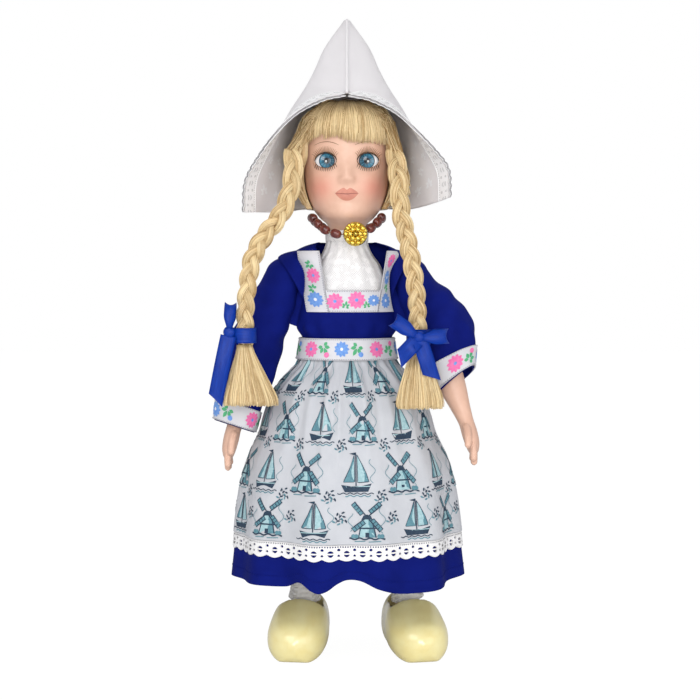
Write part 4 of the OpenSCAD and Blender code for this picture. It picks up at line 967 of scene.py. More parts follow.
for side, s in SIDES.items():
    n = 300
    first = on_head(s * RNG.uniform(38, 92, n), RNG.uniform(258, 268, n), RNG.uniform(2.4, 3.6, n))
    mid = on_head(s * RNG.normal(66, 7, n), RNG.normal(253.5, 2.2, n), RNG.uniform(3.4, 4.8, n))
    last = strand(side, RNG.uniform(0, 0.08, n), RNG.integers(0, 3, n)) + RNG.normal(0, 0.9, (n, 3))
    if s > 0:
        loose = RNG.random(n) < 0.45
        fall = [RNG.uniform(low, high, n) for low, high in ((25.5, 30.5), (-18, -9), (223, 233))]
        last[loose] = vec(*fall)[loose]
    parts.append(strands(bend(first, mid, last, 20), ROD, RNG.uniform(0.1, 1, n)))
hairs("fringe_hair", parts, "torso", "fringe")

# %% [markdown]
# ## Plaits
# Three locks make a plait, and loose hair fans out below the bow. A curve with a bevel would give three
# smooth ropes; here each lock has a core and fine hairs wound round it.

# %% Plaits and loose ends
TASSEL_END = {"right": (3.2, -3, -28.5), "left": (0.4, -10, -28.5)}
TASSEL_WIDE = {"right": 1.2, "left": 1.0}
TASSEL_ROWS = [(0, (3.6, 3)), (0.12, (4, 3.2)), (0.3, (5.6, 3.8))]
TASSEL_ROWS += [(0.6, (8.6, 4.8)), (0.9, (10.8, 5.2)), (1, (10.6, 5))]
for side in SIDES:
    u = np.linspace(0, 1, 150)
    parts = []
    for k in range(3):
        core = strand(side, u, k)
        parts.append(strands(core[None], 1.85 * (1 - 0.1 * u)[None], [0.5], 12))
        way = unit(np.gradient(core, axis=0))
        wide = unit(np.cross(way, [0, 1, 0.2]))
        deep = np.cross(way, wide)
        n = 54
        a = (RNG.uniform(0, 360, n)[:, None] + 130 * u[None])[..., None]
        r = RNG.uniform(1.72, 2.06, n)[:, None, None] * (1 - 0.1 * u)[None, :, None]
        paths = core[None] + r * (wide * cosd(a) + deep * sind(a))
        parts.append(strands(paths, ROD, RNG.uniform(0.25, 1, n)))
    hairs("plait_hair_" + side, parts, "braid_" + side, "plait_" + side)

    top = np.array(PLAITS[side][-1][1]) + np.array([0, 0, -0.5])
    end, wide = np.array(TASSEL_END[side], float), TASSEL_WIDE[side]
    u = np.linspace(0, 1, 16)
    size = curve(TASSEL_ROWS, u) * np.stack([1 + (wide - 1) * u, np.ones(16)], -1)
    a = np.arange(24) * 15.0
    centre = top + end * u[:, None] * 0.985
    core = size * 0.86
    rings = centre[:, None] + vec(core[:, :1] * cosd(a)[None], core[:, 1:] * sind(a)[None], 0)
    parts = [(*closed_loft(rings), 0.6)]
    n = 620
    a = RNG.uniform(0, 360, n)
    far = np.sqrt(RNG.uniform(0.35, 1.02, n))
    wave = RNG.normal(0, 0.25, (n, 1)) * np.sin(u * 5)[None]
    drop = u[None] * RNG.uniform(0.965, 1.01, n)[:, None]
    x = size[None, :, 0] * (far * cosd(a))[:, None] + end[0] * drop + wave
    y = size[None, :, 1] * (far * sind(a))[:, None] + end[1] * drop
    parts.append(strands(top + vec(x, y, end[2] * drop), 0.22, RNG.uniform(0.35, 1, n)))
    hairs("tassel_hair_" + side, parts, "braid_" + side, "tassel_" + side)

# %% [markdown]
# ## Cap
# A stiff white cap with two turned out wings. It is folded from one piece of cloth, so one sheet runs
# from wing to wing round the back and closes in a seam up the front. Every level has a rim, a side,
# a quarter and a back point.

# %% Cap
CAP_ROWS = [
    (0, ((48, -22, 216.6), (31, 3, 216.6), (22, 23, 218.6), (0, 31, 219.6))),
    (1, ((47, -24, 230.6), (32, 0, 231.6), (23, 21.5, 233.6), (0, 29.7, 234.6))),
    (2, ((41.5, -25, 241.6), (32, -2, 243.6), (23, 20.5, 244.6), (0, 29, 245.6))),
    (3, ((33.5, -26, 252.7), (31.5, -5, 254.2), (22, 19.5, 255.2), (0, 28.3, 255.2))),
    (4, ((24, -27, 262.2), (27, -6, 265.2), (19.5, 17.5, 266.2), (0, 26, 266.2))),
    (5, ((12, -27.5, 268.6), (22, -6, 273.2), (15.5, 15, 274.2), (0, 23, 274.2))),
    (6, ((0.35, -27, 272.2), (18.5, -6, 278.2), (13, 12, 279.2), (0, 19.4, 279.2))),
    (7, ((0.35, -19, 283.2), (15, -3, 285.7), (10.5, 9.5, 286.2), (0, 16, 286.2))),
    (8, ((0.35, -10.5, 295.2), (10.5, 0, 296.2), (7.5, 7.5, 296.2), (0, 11, 296.2))),
    (9, ((0.35, -2, 309.2), (1.6, 1.6, 309.2), (1.2, 3.4, 309.2), (0, 4.4, 309.2))),
]
CAP_TURNS = np.array([-1, -0.6, -0.28, 0, 0.28, 0.6, 1])
CAP_TOP, SEAM_START, CAP_THICK = 9, 5.75, 0.8


def cap_at(t, s):
    t, s = np.broadcast_arrays(np.asarray(t, float), np.asarray(s, float))
    r = np.moveaxis(curve(CAP_ROWS, t.ravel()), 1, 0)
    row = [r[k] * np.array([-1, 1, 1]) for k in (0, 1, 2)] + [r[k] for k in (3, 2, 1, 0)]
    p = hermite(CAP_TURNS, np.stack(row), s.ravel()).reshape(t.shape + (3,))
    low = 1 - ease(t, 0, 3.6)
    p[..., 2] += low * (5.5 * np.clip(s, 0, 1) ** 3 - 1.2 * np.clip(-s, 0, 1) ** 3)
    p[..., 1] += 0.5 * np.sin(7 * s + t) * ease(t, 0.3, 1.5) * (1 - ease(t, 5, 7)) * np.abs(s)
    return p


def cap_side(t, s):
    """Outward way of the cap."""
    e = 0.02
    up = cap_at(np.minimum(t + e, CAP_TOP), s) - cap_at(np.maximum(t - e, 0), s)
    over = cap_at(t, np.minimum(s + e, 1)) - cap_at(t, np.maximum(s - e, -1))
    return unit(np.cross(up, over))


S, T = np.meshgrid(np.linspace(-1, 1, 141), np.linspace(0, CAP_TOP, 110))
P = cap_at(T, S)
cap = cloth("cap", P, P - CAP_THICK * cap_side(T, S), CAP, S * 0.7, T * 0.12)
put(cap, "torso", "cap_cloth", "cap_body")

# %% Cap seam and tip
t = np.linspace(SEAM_START, CAP_TOP, 40)
path = cap_at(t, 1.0) * np.array([0, 1, 1]) + np.array([0, -0.1, 0])
thick = np.interp(t, [SEAM_START, 5.9, CAP_TOP], [0.7, 0.9, 0.6])
points, faces = tubes(path[None], thick[None], 8)
put(make("cap_seam", points, faces, CAP, points[:, [0, 2]] * 0.01), "torso", "cap_cloth")
ring = cap_at(np.full(60, CAP_TOP), np.linspace(-1, 1, 60))
mid = ring.mean(axis=0)
ends = ((0.6, -1.2), (0.98, -0.5), (0.98, 0), (0.6, 0.2))
rings = np.stack([mid + (ring - mid) * k + np.array([0, 0, z]) for k, z in ends])
points, faces = closed_loft(rings)
put(make("cap_tip", points, faces, CAP, points[:, [0, 1]] * 0.01), "torso", "cap_cloth")


# %% Cap lace
def rim_lace(side, outer):
    """A strip along the rim, on the outer or the inner face of the cap."""
    t = np.linspace(0, SEAM_START, 300)
    edge = cap_at(t, side)
    in_way = unit(cap_at(t, side * 0.9) - edge)
    far = lengths(edge)
    tooth = 1.9 + 1.0 * np.abs(np.sin(far * np.pi / SCALLOP))
    v = np.linspace(0, 1, 9)
    run = 6 - v[None] * (6 + tooth[:, None])
    grid = edge[:, None] + in_way[:, None] * run[..., None]
    normal = cap_side(t, np.full_like(t, side * 0.97))[:, None]
    near, thick = (0.08, 0.35) if outer else (-0.88, -0.35)
    top = grid + normal * (near + thick)
    return layer(top, grid + normal * near, far[:, None] * 0.01, 7.6 * v[None] * 0.01)


parts = [rim_lace(side, outer) for side in (-1, 1) for outer in (True, False)]
sewn("cap_rim_lace", parts, RIM_LACE, "torso", "lace", "cap_lace")


# %% White stitchery in the wings
def in_cap(u, v, lift):
    """Inner face of the wings; u runs from the rim inward and its sign picks the wing."""
    side = np.sign(u)
    s = side * (1 - (np.abs(u) - 1) / 62)
    t = v / 12.5
    return cap_at(t, s) - cap_side(t, s) * (CAP_THICK + lift)


def sprig(p, u, v, size, turn, ink):
    """A small branch of leaves."""
    for angle, long in ((0, 1.0), (50, 0.75), (-50, 0.75), (105, 0.6), (-105, 0.6)):
        a = math.radians(turn + angle)
        c, d = math.cos(a), math.sin(a)
        k = np.linspace(0, 1, 9)
        mid = vec(u + c * size * long * (0.2 + k), v + d * size * long * (0.2 + k))
        p.stroke(mid, (c, d), 0.22 * np.sin(np.pi * k) * size, ink)


LEAVES = [(11, 8, 80), (16, 15, 30), (12, 23, 120), (17, 31, 60), (12, 39, 100), (19, 6, 140), (22, 22, 20)]
stitchery = Print(in_cap, 0.15)
for side in (-1, 1):
    for u, v, turn in LEAVES:
        sprig(stitchery, side * (u + 1), v, 3.0, turn, WHITE)
put(stitchery.build("cap_stitchery", PRINT), "torso", "cap_cloth")

# %% [markdown]
# ## Body and bodice
# Under the dress is a stuffed cloth body. The bodice goes round it with a square neck, which a lace
# front fills. Flowered ribbon frames the neck.

# %% Stuffed body
BODY_ROWS = [
    (127.5, (12, 8.5, 8.5)), (129.1, (17.5, 12.5, 12.5)), (135.5, (20.9, 15.2, 15.2)),
    (150, (18.9, 12.8, 12.8)), (161, (18.1, 12.6, 12.6)), (173, (16.6, 12.6, 12.6)),
    (179, (15.4, 11.9, 11.9)), (185, (13.8, 10.6, 10.6)), (190, (10.8, 8.2, 8.2)),
    (194, (6.2, 5.2, 5.2)),
]
A, Z = np.meshgrid(np.arange(72) * 5.0, np.linspace(127.5, 194, 60))
P = oval(curve(BODY_ROWS, Z), A, 0, Z)
uv = np.concatenate([vec(A * 0.003, Z * 0.01).reshape(-1, 2), np.zeros((2, 2))])
body = make("stuffed_body", *closed_loft(P), MUSLIN, uv)
put(body, "torso", "body_cloth", "cloth_body", "body_filling")

# %% [markdown]
# ## Bodice
# One sheet goes round the body, and the square neck is cut out of its grid. A Boolean could cut it too;
# dropping faces and closing the rim keeps the even grid of the cloth.

# %% Bodice
BODICE_ROWS = [
    (150.4, (21.7, 14.8, 14.8)), (155, (21.9, 15.2, 14.9)), (160, (24.6, 16, 15.2)),
    (166, (24, 17.2, 16.6)), (172, (22.4, 18, 17.3)), (179, (21.3, 18.3, 17.6)),
    (185, (21.3, 17.8, 17.2)), (188, (22, 17, 16.6)), (191, (23.5, 16.2, 16)),
    (193.4, (25.2, 15.4, 15)), (195.2, (26.2, 14.6, 14.2)), (197.4, (25.2, 13.6, 13.4)),
    (200, (20.1, 12.6, 12.6)), (201.6, (14.4, 12.2, 12.2)),
]
NECK_X, NECK_Z, AROUND, UP = 3, 175.4, 180, 90
A, Z = np.meshgrid(np.arange(AROUND) * 2.0, np.linspace(150.4, 201.6, UP))
V = curve(BODICE_ROWS, Z)
gather = 0.5 * cosd(14 * A + 30 * np.sin(A / 25)) * bell(Z - 159.5, 3.6)
P, Q = oval(V, A, gather, Z), oval(V, A, gather - 0.8, Z)
points, faces = shell(P, Q, True)
count = (UP - 1) * AROUND
top, under, low_rim, high_rim = np.split(faces[0], [count, 2 * count, 2 * count + AROUND])
x, y, z = points[top].mean(1).T
cut = (y < -3.9) & (z > NECK_Z) & (np.abs(x - NECK_X) < 16 + 3.5 * (z - NECK_Z) / 33.6)
kept = {(f[(k + 1) % 4], f[k]) for f in top[~cut].tolist() for k in range(4)}
edges = [(f[k], f[(k + 1) % 4]) for f in top[cut].tolist() for k in range(4)]
rim = np.array([(a, b, b + P.size // 3, a + P.size // 3) for a, b in edges if (a, b) in kept])
faces = np.concatenate([top[~cut], under[~cut], low_rim, high_rim[~cut[-AROUND:]], rim])
uv = np.concatenate([vec(A * 0.0035, Z * 0.01).reshape(-1, 2)] * 2)
bodice = put(make("dress_top", points, faces, DRESS, uv), "torso", "dress_cloth", "bodice")


def on_bodice(x, z, lift):
    v = curve(BODICE_ROWS, z)
    u = np.clip(x / v[..., 0], -0.94, 0.94)
    p = vec(u * v[..., 0], -v[..., 1] * np.sqrt(1 - u * u), z)
    return p + unit(vec(p[..., 0] / v[..., 0] ** 2, p[..., 1] / v[..., 1] ** 2, 0)) * lift

# %% [markdown]
# ## Lace at the neck
# A pleated lace front lies on the shoulder plate, and a small frill stands round the neck. The front
# follows the rings of the head a little further out. A cosine gives both their pleats.


# %% Lace front and neck band
A, Z = np.meshgrid(np.linspace(-94, 94, 240), np.linspace(174, 204, 50))
pleat = 0.18 * np.cos(np.radians(A * 16)) * ease(Z, 174, 178)
P = on_head(A, Z, 0.85 + pleat)
dickey = cloth("lace_front", P, on_head(A, Z, 0.35 + pleat), NET, A * 0.003, Z * 0.01)
put(dickey, "torso", "lace", "dickey")
A, Z = np.meshgrid(np.arange(120) * 3.0, np.linspace(201.9, 207.3, 14))
frill = 0.22 * np.cos(np.radians(A * 20)) * ease(Z, 202, 207)
outer, inner = (vec((r + frill) * sind(A), -(r + frill) * cosd(A), Z) for r in (10.45, 9.95))
band = cloth("neck_frill", outer, inner, NET, A * 0.0017, (Z - 201.9) * 0.01, True)
put(band, "torso", "lace", "neck_band")

# %% [markdown]
# ## Flowered ribbon
# One repeat of the woven ribbon holds a pink daisy, a spray of leaves with a bud, a blue flower and a
# blue bud. Waist and cuffs carry repeats of it, and the neck has the same flowers in an order of its
# own. All are drawn flat, and a function of each place lays them on.


# %% Ribbon drawing
REPEAT = 34.6


def daisy(p, u, v, size, ink, heart):
    p.level = 0.0
    for k in range(11):
        a = k * 2 * math.pi / 11
        c, d = math.cos(a), math.sin(a)
        q = np.linspace(0, 1, 7)
        mid = vec(u + c * size * 0.5 * (0.2 + 0.8 * q), v + d * size * 0.5 * (0.2 + 0.8 * q))
        p.stroke(mid, (c, d), size * 0.125 * np.sin(np.pi * (0.12 + 0.86 * q)) ** 0.7, ink)
    p.disc((u, v), size * 0.16, ink)
    p.disc((u, v), size * 0.1, heart)


def ribbon_repeat(p, u, flip):
    daisy(p, u, 0, 8.0, PINK, BLUE)
    sprig(p, u + 7, -1.5 * flip, 4.0, 60 * flip, GREEN)
    sprig(p, u + 24.5, -1.2 * flip, 4.0, 120 * flip, GREEN)
    p.disc((u + 9, 2.6 * flip), 1.3, PINK)
    p.disc((u + 26, 2.4 * flip), 1.25, BLUE)
    daisy(p, u + 16.5, 0.2, 7.6, BLUE, WHITE)


def selvedge(p, start, end):
    """Small stitches along both edges."""
    for v in (-4.7, 4.7):
        for u in np.arange(start, end, 1.1):
            p.line([(u, v), (u + 0.55, v)], 0.4, GREY, 0.6)


def ribbon_run(p, start, end, shift):
    """As many repeats as fit between start and end."""
    for k in range(int((end - start) / REPEAT) + 2):
        u = start + shift + REPEAT * k
        if u + 30 < end + 6:
            ribbon_repeat(p, u, 1 if k % 2 else -1)
    selvedge(p, start + 0.4, end - 0.2)


RIBBON = 10.5
print(f"ribbon: {RIBBON} mm wide, a repeat every {REPEAT} mm")

# %% [markdown]
# ## Ribbon round the neck
# Three lengths of ribbon are sewn along the square neck. A Curve modifier could bend them; a function
# of the bodice keeps them on the cloth at every point.


# %% Ribbon round the neck
def neck_half(z):
    return 13 + 3.5 * (z - 178.4) / 21.6


def side_strip(s, z, k):
    v = curve(BODICE_ROWS, z)
    end = np.minimum(neck_half(z) + RIBBON, v[..., 0] * 0.93 - s * NECK_X)
    return NECK_X + s * (neck_half(z) * (1 - k) + end * k)


def neck_part(x, z, u):
    return layer(on_bodice(x, z, 0.9), on_bodice(x, z, 0.3), u, z * 0.01)


parts = []
for s in (-1, 1):
    K, Z = np.meshgrid(np.linspace(0, 1, 16), np.linspace(167.9, 197.4, 50))
    parts.append(neck_part(side_strip(s, Z, K), Z, K * 0.105))
K, Z = np.meshgrid(np.linspace(-1, 1, 60), np.linspace(167.9, 178.4, 16))
x = NECK_X + K * (neck_half(Z) - 0.2)
parts.append(neck_part(x, Z, x * 0.01))
sewn("neck_ribbon", parts, TRIM, "torso", "ribbon_trim", "neck_trim")


# %% Flowers round the neck
def level_way(u, v, lift):
    return on_bodice(u + NECK_X, 173.15 + v, 0.9 + lift)


def slant_way(s):
    def way(u, v, lift):
        z = 168 + u
        return on_bodice(side_strip(s, z, 0.5 + v / RIBBON), z, 0.9 + lift)

    return way


FLOWERS = {
    "neck_flowers": [
        (daisy, -8.5, 0, 8.0, PINK, BLUE),
        (daisy, 1.5, 0.6, 8.4, PINK, BLUE),
        (sprig, -3.6, -2.6, 2.4, 80, GREEN),
        (daisy, 9.4, 0.4, 5.6, BLUE, WHITE),
        (sprig, 6.2, -2.4, 2.2, 100, GREEN),
    ],
    "neck_flowers_right": [
        (daisy, 6, 0, 7.6, BLUE, WHITE),
        (sprig, 11, 0.4, 2.8, 60, GREEN),
        (daisy, 17.5, 0, 7.6, PINK, BLUE),
        (sprig, 23, 0.2, 2.8, 120, GREEN),
    ],
    "neck_flowers_left": [
        (daisy, 5.4, 0, 7.6, BLUE, WHITE),
        (sprig, 11, -0.4, 2.8, 40, GREEN),
        (daisy, 16.5, 0.2, 7.4, BLUE, WHITE),
        (daisy, 24.5, 0.2, 6.8, PINK, BLUE),
    ],
}
places = [(level_way, -12, 12), (slant_way(-1), 0.4, 28.6), (slant_way(1), 0.4, 28.6)]
for (name, drawing), (way, start, end) in zip(FLOWERS.items(), places):
    p = Print(way, 0.12)
    for shape, *numbers in drawing:
        shape(p, *numbers)
    selvedge(p, start, end)
    put(p.build(name, PRINT), "torso", "ribbon_trim")

# %% [markdown]
# ## Necklace
# Beads repeat along a cord, which is work for Geometry Nodes: the cord is a path, one lathe turned
# bead is placed on it again and again, and the result becomes a plain mesh.


# %% Pieces along a path
def path_tree():
    tree = bpy.data.node_groups.new("pieces_along_path", "GeometryNodeTree")
    for name, kind in (("Path", "Geometry"), ("Piece", "Object"), ("Count", "Int"), ("Paint", "Material")):
        tree.interface.new_socket(name, in_out="INPUT", socket_type="NodeSocket" + kind)
    tree.interface.new_socket("Pieces", in_out="OUTPUT", socket_type="NodeSocketGeometry")
    w = Wire(tree, None)
    start = {k.name: Wire(tree, k) for k in w.node("NodeGroupInput").out.node.outputs}
    line = w.node("GeometryNodeMeshToCurve", {0: start["Path"]})
    even = w.node("GeometryNodeResampleCurve", {"Curve": line, "Count": start["Count"]})
    way = w.node("GeometryNodeInputTangent")
    turn = w.node("FunctionNodeAlignRotationToVector", {"Vector": way}, axis="Z")
    piece = w.node("GeometryNodeObjectInfo", {"Object": start["Piece"]}, output="Geometry")
    many = w.node("GeometryNodeInstanceOnPoints", {"Points": even, "Instance": piece, "Rotation": turn})
    solid = w.node("GeometryNodeRealizeInstances", {0: many})
    done = w.node("GeometryNodeSetMaterial", {"Geometry": solid, "Material": start["Paint"]})
    w.plug(tree.nodes.new("NodeGroupOutput").inputs[0], done)
    return tree


ALONG = path_tree()


def along(name, path, piece, count, paint):
    """Copies of a piece, its z along the path, as a plain mesh."""
    edges = [(k, k + 1) for k in range(len(path) - 1)]
    mesh = bpy.data.meshes.new(name)
    mesh.from_pydata((np.asarray(path) * MM).tolist(), edges, [])
    carrier = link(name + "_path", mesh)
    mod = carrier.modifiers.new("pieces", "NODES")
    mod.node_group = ALONG
    sockets = {k.name: k.identifier for k in ALONG.interface.items_tree if k.in_out == "INPUT"}
    mod[sockets["Piece"]], mod[sockets["Count"]], mod[sockets["Paint"]] = piece, count, paint
    done = plain(carrier, name, paint)
    bpy.data.objects.remove(piece)
    return done


def lathe(name, rows, paint, n):
    """A turned form about the z axis; rows hold radius and height."""
    return make(name, *closed_loft(turned(rows, n)), paint)


print("path tree:", len(ALONG.nodes), "nodes")

# %% [markdown]
# ## Beads and clasp
# Turned beads hang on a thread, and a round gilt clasp of small balls closes it in front. The beads
# share evenly the way round that the clasp leaves free.


# %% Necklace
BEAD_ROWS = [
    (-25, (-7.5, -19.4, 205.8)), (0, (0, -20.4, 205)), (25, (7.5, -19.4, 205.8)),
    (50, (12.6, -15, 209)), (80, (16.6, -7, 213.4)), (110, (16.4, 2, 212.6)), (140, (11.4, 9.4, 209)),
    (180, (0, 13, 207)), (220, (-11.4, 9.4, 209)),
]


def on_neck(a):
    p = curve(BEAD_ROWS, np.where(a > 180, 360 - a, a))
    return np.where((a > 180)[..., None], p * np.array([-1, 1, 1]), p)


CLASP_TURN, CLASP_ROOM, BEADS = 13.0, 9.3, 16
a = np.linspace(0, 360, 721)
loop = on_neck(a)
far = lengths(loop)
clasp_run = np.interp(CLASP_TURN, a, far)
first, last = clasp_run + CLASP_ROOM, far[-1] + clasp_run - CLASP_ROOM
run = np.linspace(first, last, 200) % far[-1]
path = np.stack([np.interp(run, far, loop[:, k]) for k in range(3)], -1)
half = [(0.5, -2.5), (1.2, -2.5), (1.75, -2.0), (2.1, -1.2)]
profile = half + [(2.25, 0)] + [(r, -z) for r, z in half[::-1]]
beads = along("beads", path, lathe("bead", profile, BEAD, 24), BEADS, BEAD)
put(beads, "torso", "bead", "necklace_beads")

# %% Clasp
clasp = on_neck(np.array([CLASP_TURN]))[0] + np.array([0, -1.6, 0])
parts = []
for count, radius, lift in ((10, 4.5, 0.0), (6, 2.4, -0.9), (2, 0.1, -1.5)):
    turn = np.linspace(0, 360, count + 1)
    ring = clasp + vec(radius * cosd(turn), lift, radius * sind(turn))
    ball = lathe("ball", ball_rows(1.35, -84, 84, 11), GOLD, 14)
    parts.append(along("clasp_ring", ring, ball, count + 1 if count > 2 else 2, GOLD))
disc = lathe("clasp_plate", [(0.5, -0.6), (5.4, -0.6), (5.8, 0), (5.4, 0.5), (0.5, 0.5)], GOLD, 32)
disc.data.transform(Matrix.Rotation(math.radians(90), 4, "X"))
disc.data.transform(Matrix.Translation([v * MM for v in clasp + np.array([0, 0.6, 0])]))
put(disc, "torso", "gold", "necklace_clasp")
for k, part in enumerate(parts):
    part.name = f"clasp_balls_{k}"
    put(part, "torso", "gold")

# %% [markdown]
# ## Skirt and apron
# The skirt is gathered at the waist and falls in folds that deepen toward the hem. Cloth simulation
# would find its own folds; here they follow the object, so they are written down. The apron uses the
# same function a little further out, and so always lies on the skirt.

# %% Skirt form
FLARE = [
    (0, (20.9, 14.4)), (0.055, (22.1, 15.6)), (0.095, (25.9, 19.2)), (0.145, (31, 24.2)),
    (0.2, (35.4, 28.4)), (0.29, (39, 32.6)), (0.37, (41.4, 35.6)), (0.455, (45.65, 38.64)),
    (0.535, (48.68, 41.52)), (0.635, (51.15, 44.16)), (0.77, (52.91, 46.08)), (0.9, (54.01, 47.28)),
    (1, (55, 48)),
]
HEM = [(-90, 39.5), (-46, 39.6), (-32, 40), (-23, 43), (-16.7, 39.7), (-13, 38.5), (-9, 39.7), (-5, 42.5)]
HEM += [(0, 44.5), (7, 44), (15, 40.3), (26, 37.3), (37, 36.7), (56, 37.9), (79, 39.6), (90, 40)]
TUCKS = [(-62, 5, 0.9), (-40, 4, 1.2), (-27, 3.2, 1.0), (-14, 3.0, 1.9), (-5, 2.6, 1.6), (3, 2.4, -1.0)]
TUCKS += [(12, 3.2, 1.9), (22, 3, -0.9), (31, 3.4, 1.2), (47, 4, 1.0), (66, 5, 0.9)]
SKIRT_TOP, SKIRT_LONG, HEM_Z = 149.8, 110.3, 39.5


def ripple(a):
    return 0.7 * cosd(11 * a + 180) + 0.3 * cosd(7 * a + 70)


def fold(a, t):
    """Depth of the folds: soft waves, tucks in front and close gathers under the waist."""
    front = sum(h * bell(a - c, w) for c, w, h in TUCKS)
    gather = 0.42 * cosd(31 * a + 40 * np.sin(a / 20)) * bell(t - 0.1, 0.075) * ease(t, 0.02, 0.07)
    return (
        (0.45 * sind(180 * np.minimum(t / 0.2, 1)) + 2.8 * t**1.4) * ripple(a)
        + front * bell(t - 0.25, 0.2) * ease(t, 0.04, 0.14)
        + gather
    )


def on_skirt(t, a, grow):
    """A place on the skirt: t runs from waist to hem and a from the front, in degrees."""
    t, a = np.broadcast_arrays(np.asarray(t, float), np.asarray(a, float))
    v = curve(FLARE, t)
    g = grow + fold(a, t)
    b = (a + 180) % 360 - 180
    front = curve(HEM, np.clip(b, -90, 90))
    hem = front + (40.7 - 1.8 * ripple(a) - front) * ease(np.abs(b), 80, 105)
    z = SKIRT_TOP - t * SKIRT_LONG + (hem - HEM_Z) * ease(t, 0.86, 1)
    return vec((v[..., 0] + g) * sind(a), -(v[..., 1] + g) * cosd(a), z)


A, T = np.meshgrid(np.arange(360) * 1.0, np.linspace(0, 1, 90))
skirt = cloth("dress_skirt", on_skirt(T, A, 0.8), on_skirt(T, A, 0), DRESS, A * 0.009, T * 1.1, True)
put(skirt, "torso", "dress_cloth", "skirt")

# %% [markdown]
# ## Hem
# The hem is turned up and sewn with short stitches in the colour of the cloth. Stitches repeat along a
# path, so the tree of the necklace makes them too.

# %% Hem stitches
a = np.linspace(0, 359.5, 720)
path = on_skirt(0.955, a, 0.86)
stitch = lathe("stitch", [(0.05, -0.55), (0.16, -0.45), (0.18, 0), (0.16, 0.45), (0.05, 0.55)], DRESS, 6)
put(along("hem_stitches", path, stitch, 210, DRESS), "torso", "dress_cloth")

# %% [markdown]
# ## Apron
# A gathered apron with lace on three sides lies on the skirt. The teeth of the lace are in its outline,
# and its holes are in its material.

# %% Apron and its lace
END, LACE_END, APRON_HALF = 0.805, 0.874, 98.18
A, T = np.meshgrid(np.linspace(-APRON_HALF, APRON_HALF, 300), np.linspace(0, END, 100))
apron = cloth("apron_sheet", on_skirt(T, A, 1.9), on_skirt(T, A, 1.1), APRON, A * 0.009, T * 1.1)
put(apron, "torso", "apron_cloth", "apron")

A, K = np.meshgrid(np.linspace(-APRON_HALF, APRON_HALF, 700), np.linspace(0, 1, 9))
T = END + 0.0018 + K * (LACE_END - END) * (0.84 + 0.16 * np.abs(cosd(180 * A / 7.78)))
parts = [layer(on_skirt(T, A, 1.6), on_skirt(T, A, 1.1), A * 0.009, K * 0.076)]
for s in (-1, 1):
    T, K = np.meshgrid(np.linspace(0.16, END, 240), np.linspace(0, 1, 9))
    tooth = 0.84 + 0.16 * np.abs(cosd(180 * T * 110 / 7))
    A = s * (98.6 + K * tooth * 7.6 * 180 / np.pi / curve(FLARE, T)[..., 1])
    parts.append(layer(on_skirt(T, A, 1.6), on_skirt(T, A, 1.1), T * 1.1, K * 0.076))
sewn("apron_border", parts, LACE, "torso", "lace", "apron_lace")

# %% [markdown]
# ## Apron print
# Windmills and sailing boats in blue inks stand in rows, with small sprigs between. They are drawn
# here afresh with a few lines and washes each.


# %% Apron drawing
def windmill():
    """The steps of a drawing: points, an ink and, for a line, its width. The rest is filled."""
    yield [(-4, -8), (4, -8), (2.3, 1), (-2.3, 1)], PALE
    yield [(0.6, -8), (4, -8), (2.3, 1), (0.6, 1)], TEAL
    yield [(-4.1, -8), (-2.3, 1)], NAVY, 0.5
    yield [(4.1, -8), (2.3, 1)], NAVY, 0.6
    yield [(-5.4, -3.4), (5.4, -3.4)], NAVY, 0.7
    yield [(-2.6, 1), (2.6, 1), (1.8, 2.8), (0, 3.5), (-1.8, 2.8)], NAVY
    yield [(-0.9, -8), (0.9, -8), (0.9, -5.6), (-0.9, -5.6)], NAVY
    for turn in (38, 128, 218, 308):

        def at_sail(*places):
            return [(x, 2.2 + y) for x, y in (spin(r, q, math.radians(turn)) for r, q in places)]

        yield at_sail((0.3, 0), (9.6, 0)), NAVY, 0.55
        yield at_sail((2.4, 0.2), (9.4, 0.2), (9.4, 2.2), (2.4, 2.0)), TEAL
        yield at_sail((2.4, 2.0), (9.4, 2.2)), NAVY, 0.4
        for r in (2.6, 4.3, 6.0, 7.7, 9.3):
            yield at_sail((r, 0), (r, 2.1)), NAVY, 0.35
    x = np.linspace(-8.5, 8.5, 22)
    yield vec(x, -8.6 + 0.4 * np.sin(x * 1.3)), NAVY, 0.7
    for x in (-6.6, -5.2, 5.6, 7.0):
        a = np.arange(9) * 40.0
        yield vec(x + 1.1 * cosd(a), -7.4 - 1.1 * sind(a)), TEAL
    x = np.linspace(0, 1, 20)
    yield vec(7.4 - 1.6 * np.sin(9 * x), -6 + 13 * x), TEAL, 0.28
    yield vec(-8 + 1.2 * np.sin(8 * x), -5 + 9 * x), TEAL, 0.28
    yield [(-6, -10), (-1, -9.8)], TEAL, 0.4
    yield [(0.5, -10.2), (6.4, -9.9)], TEAL, 0.4


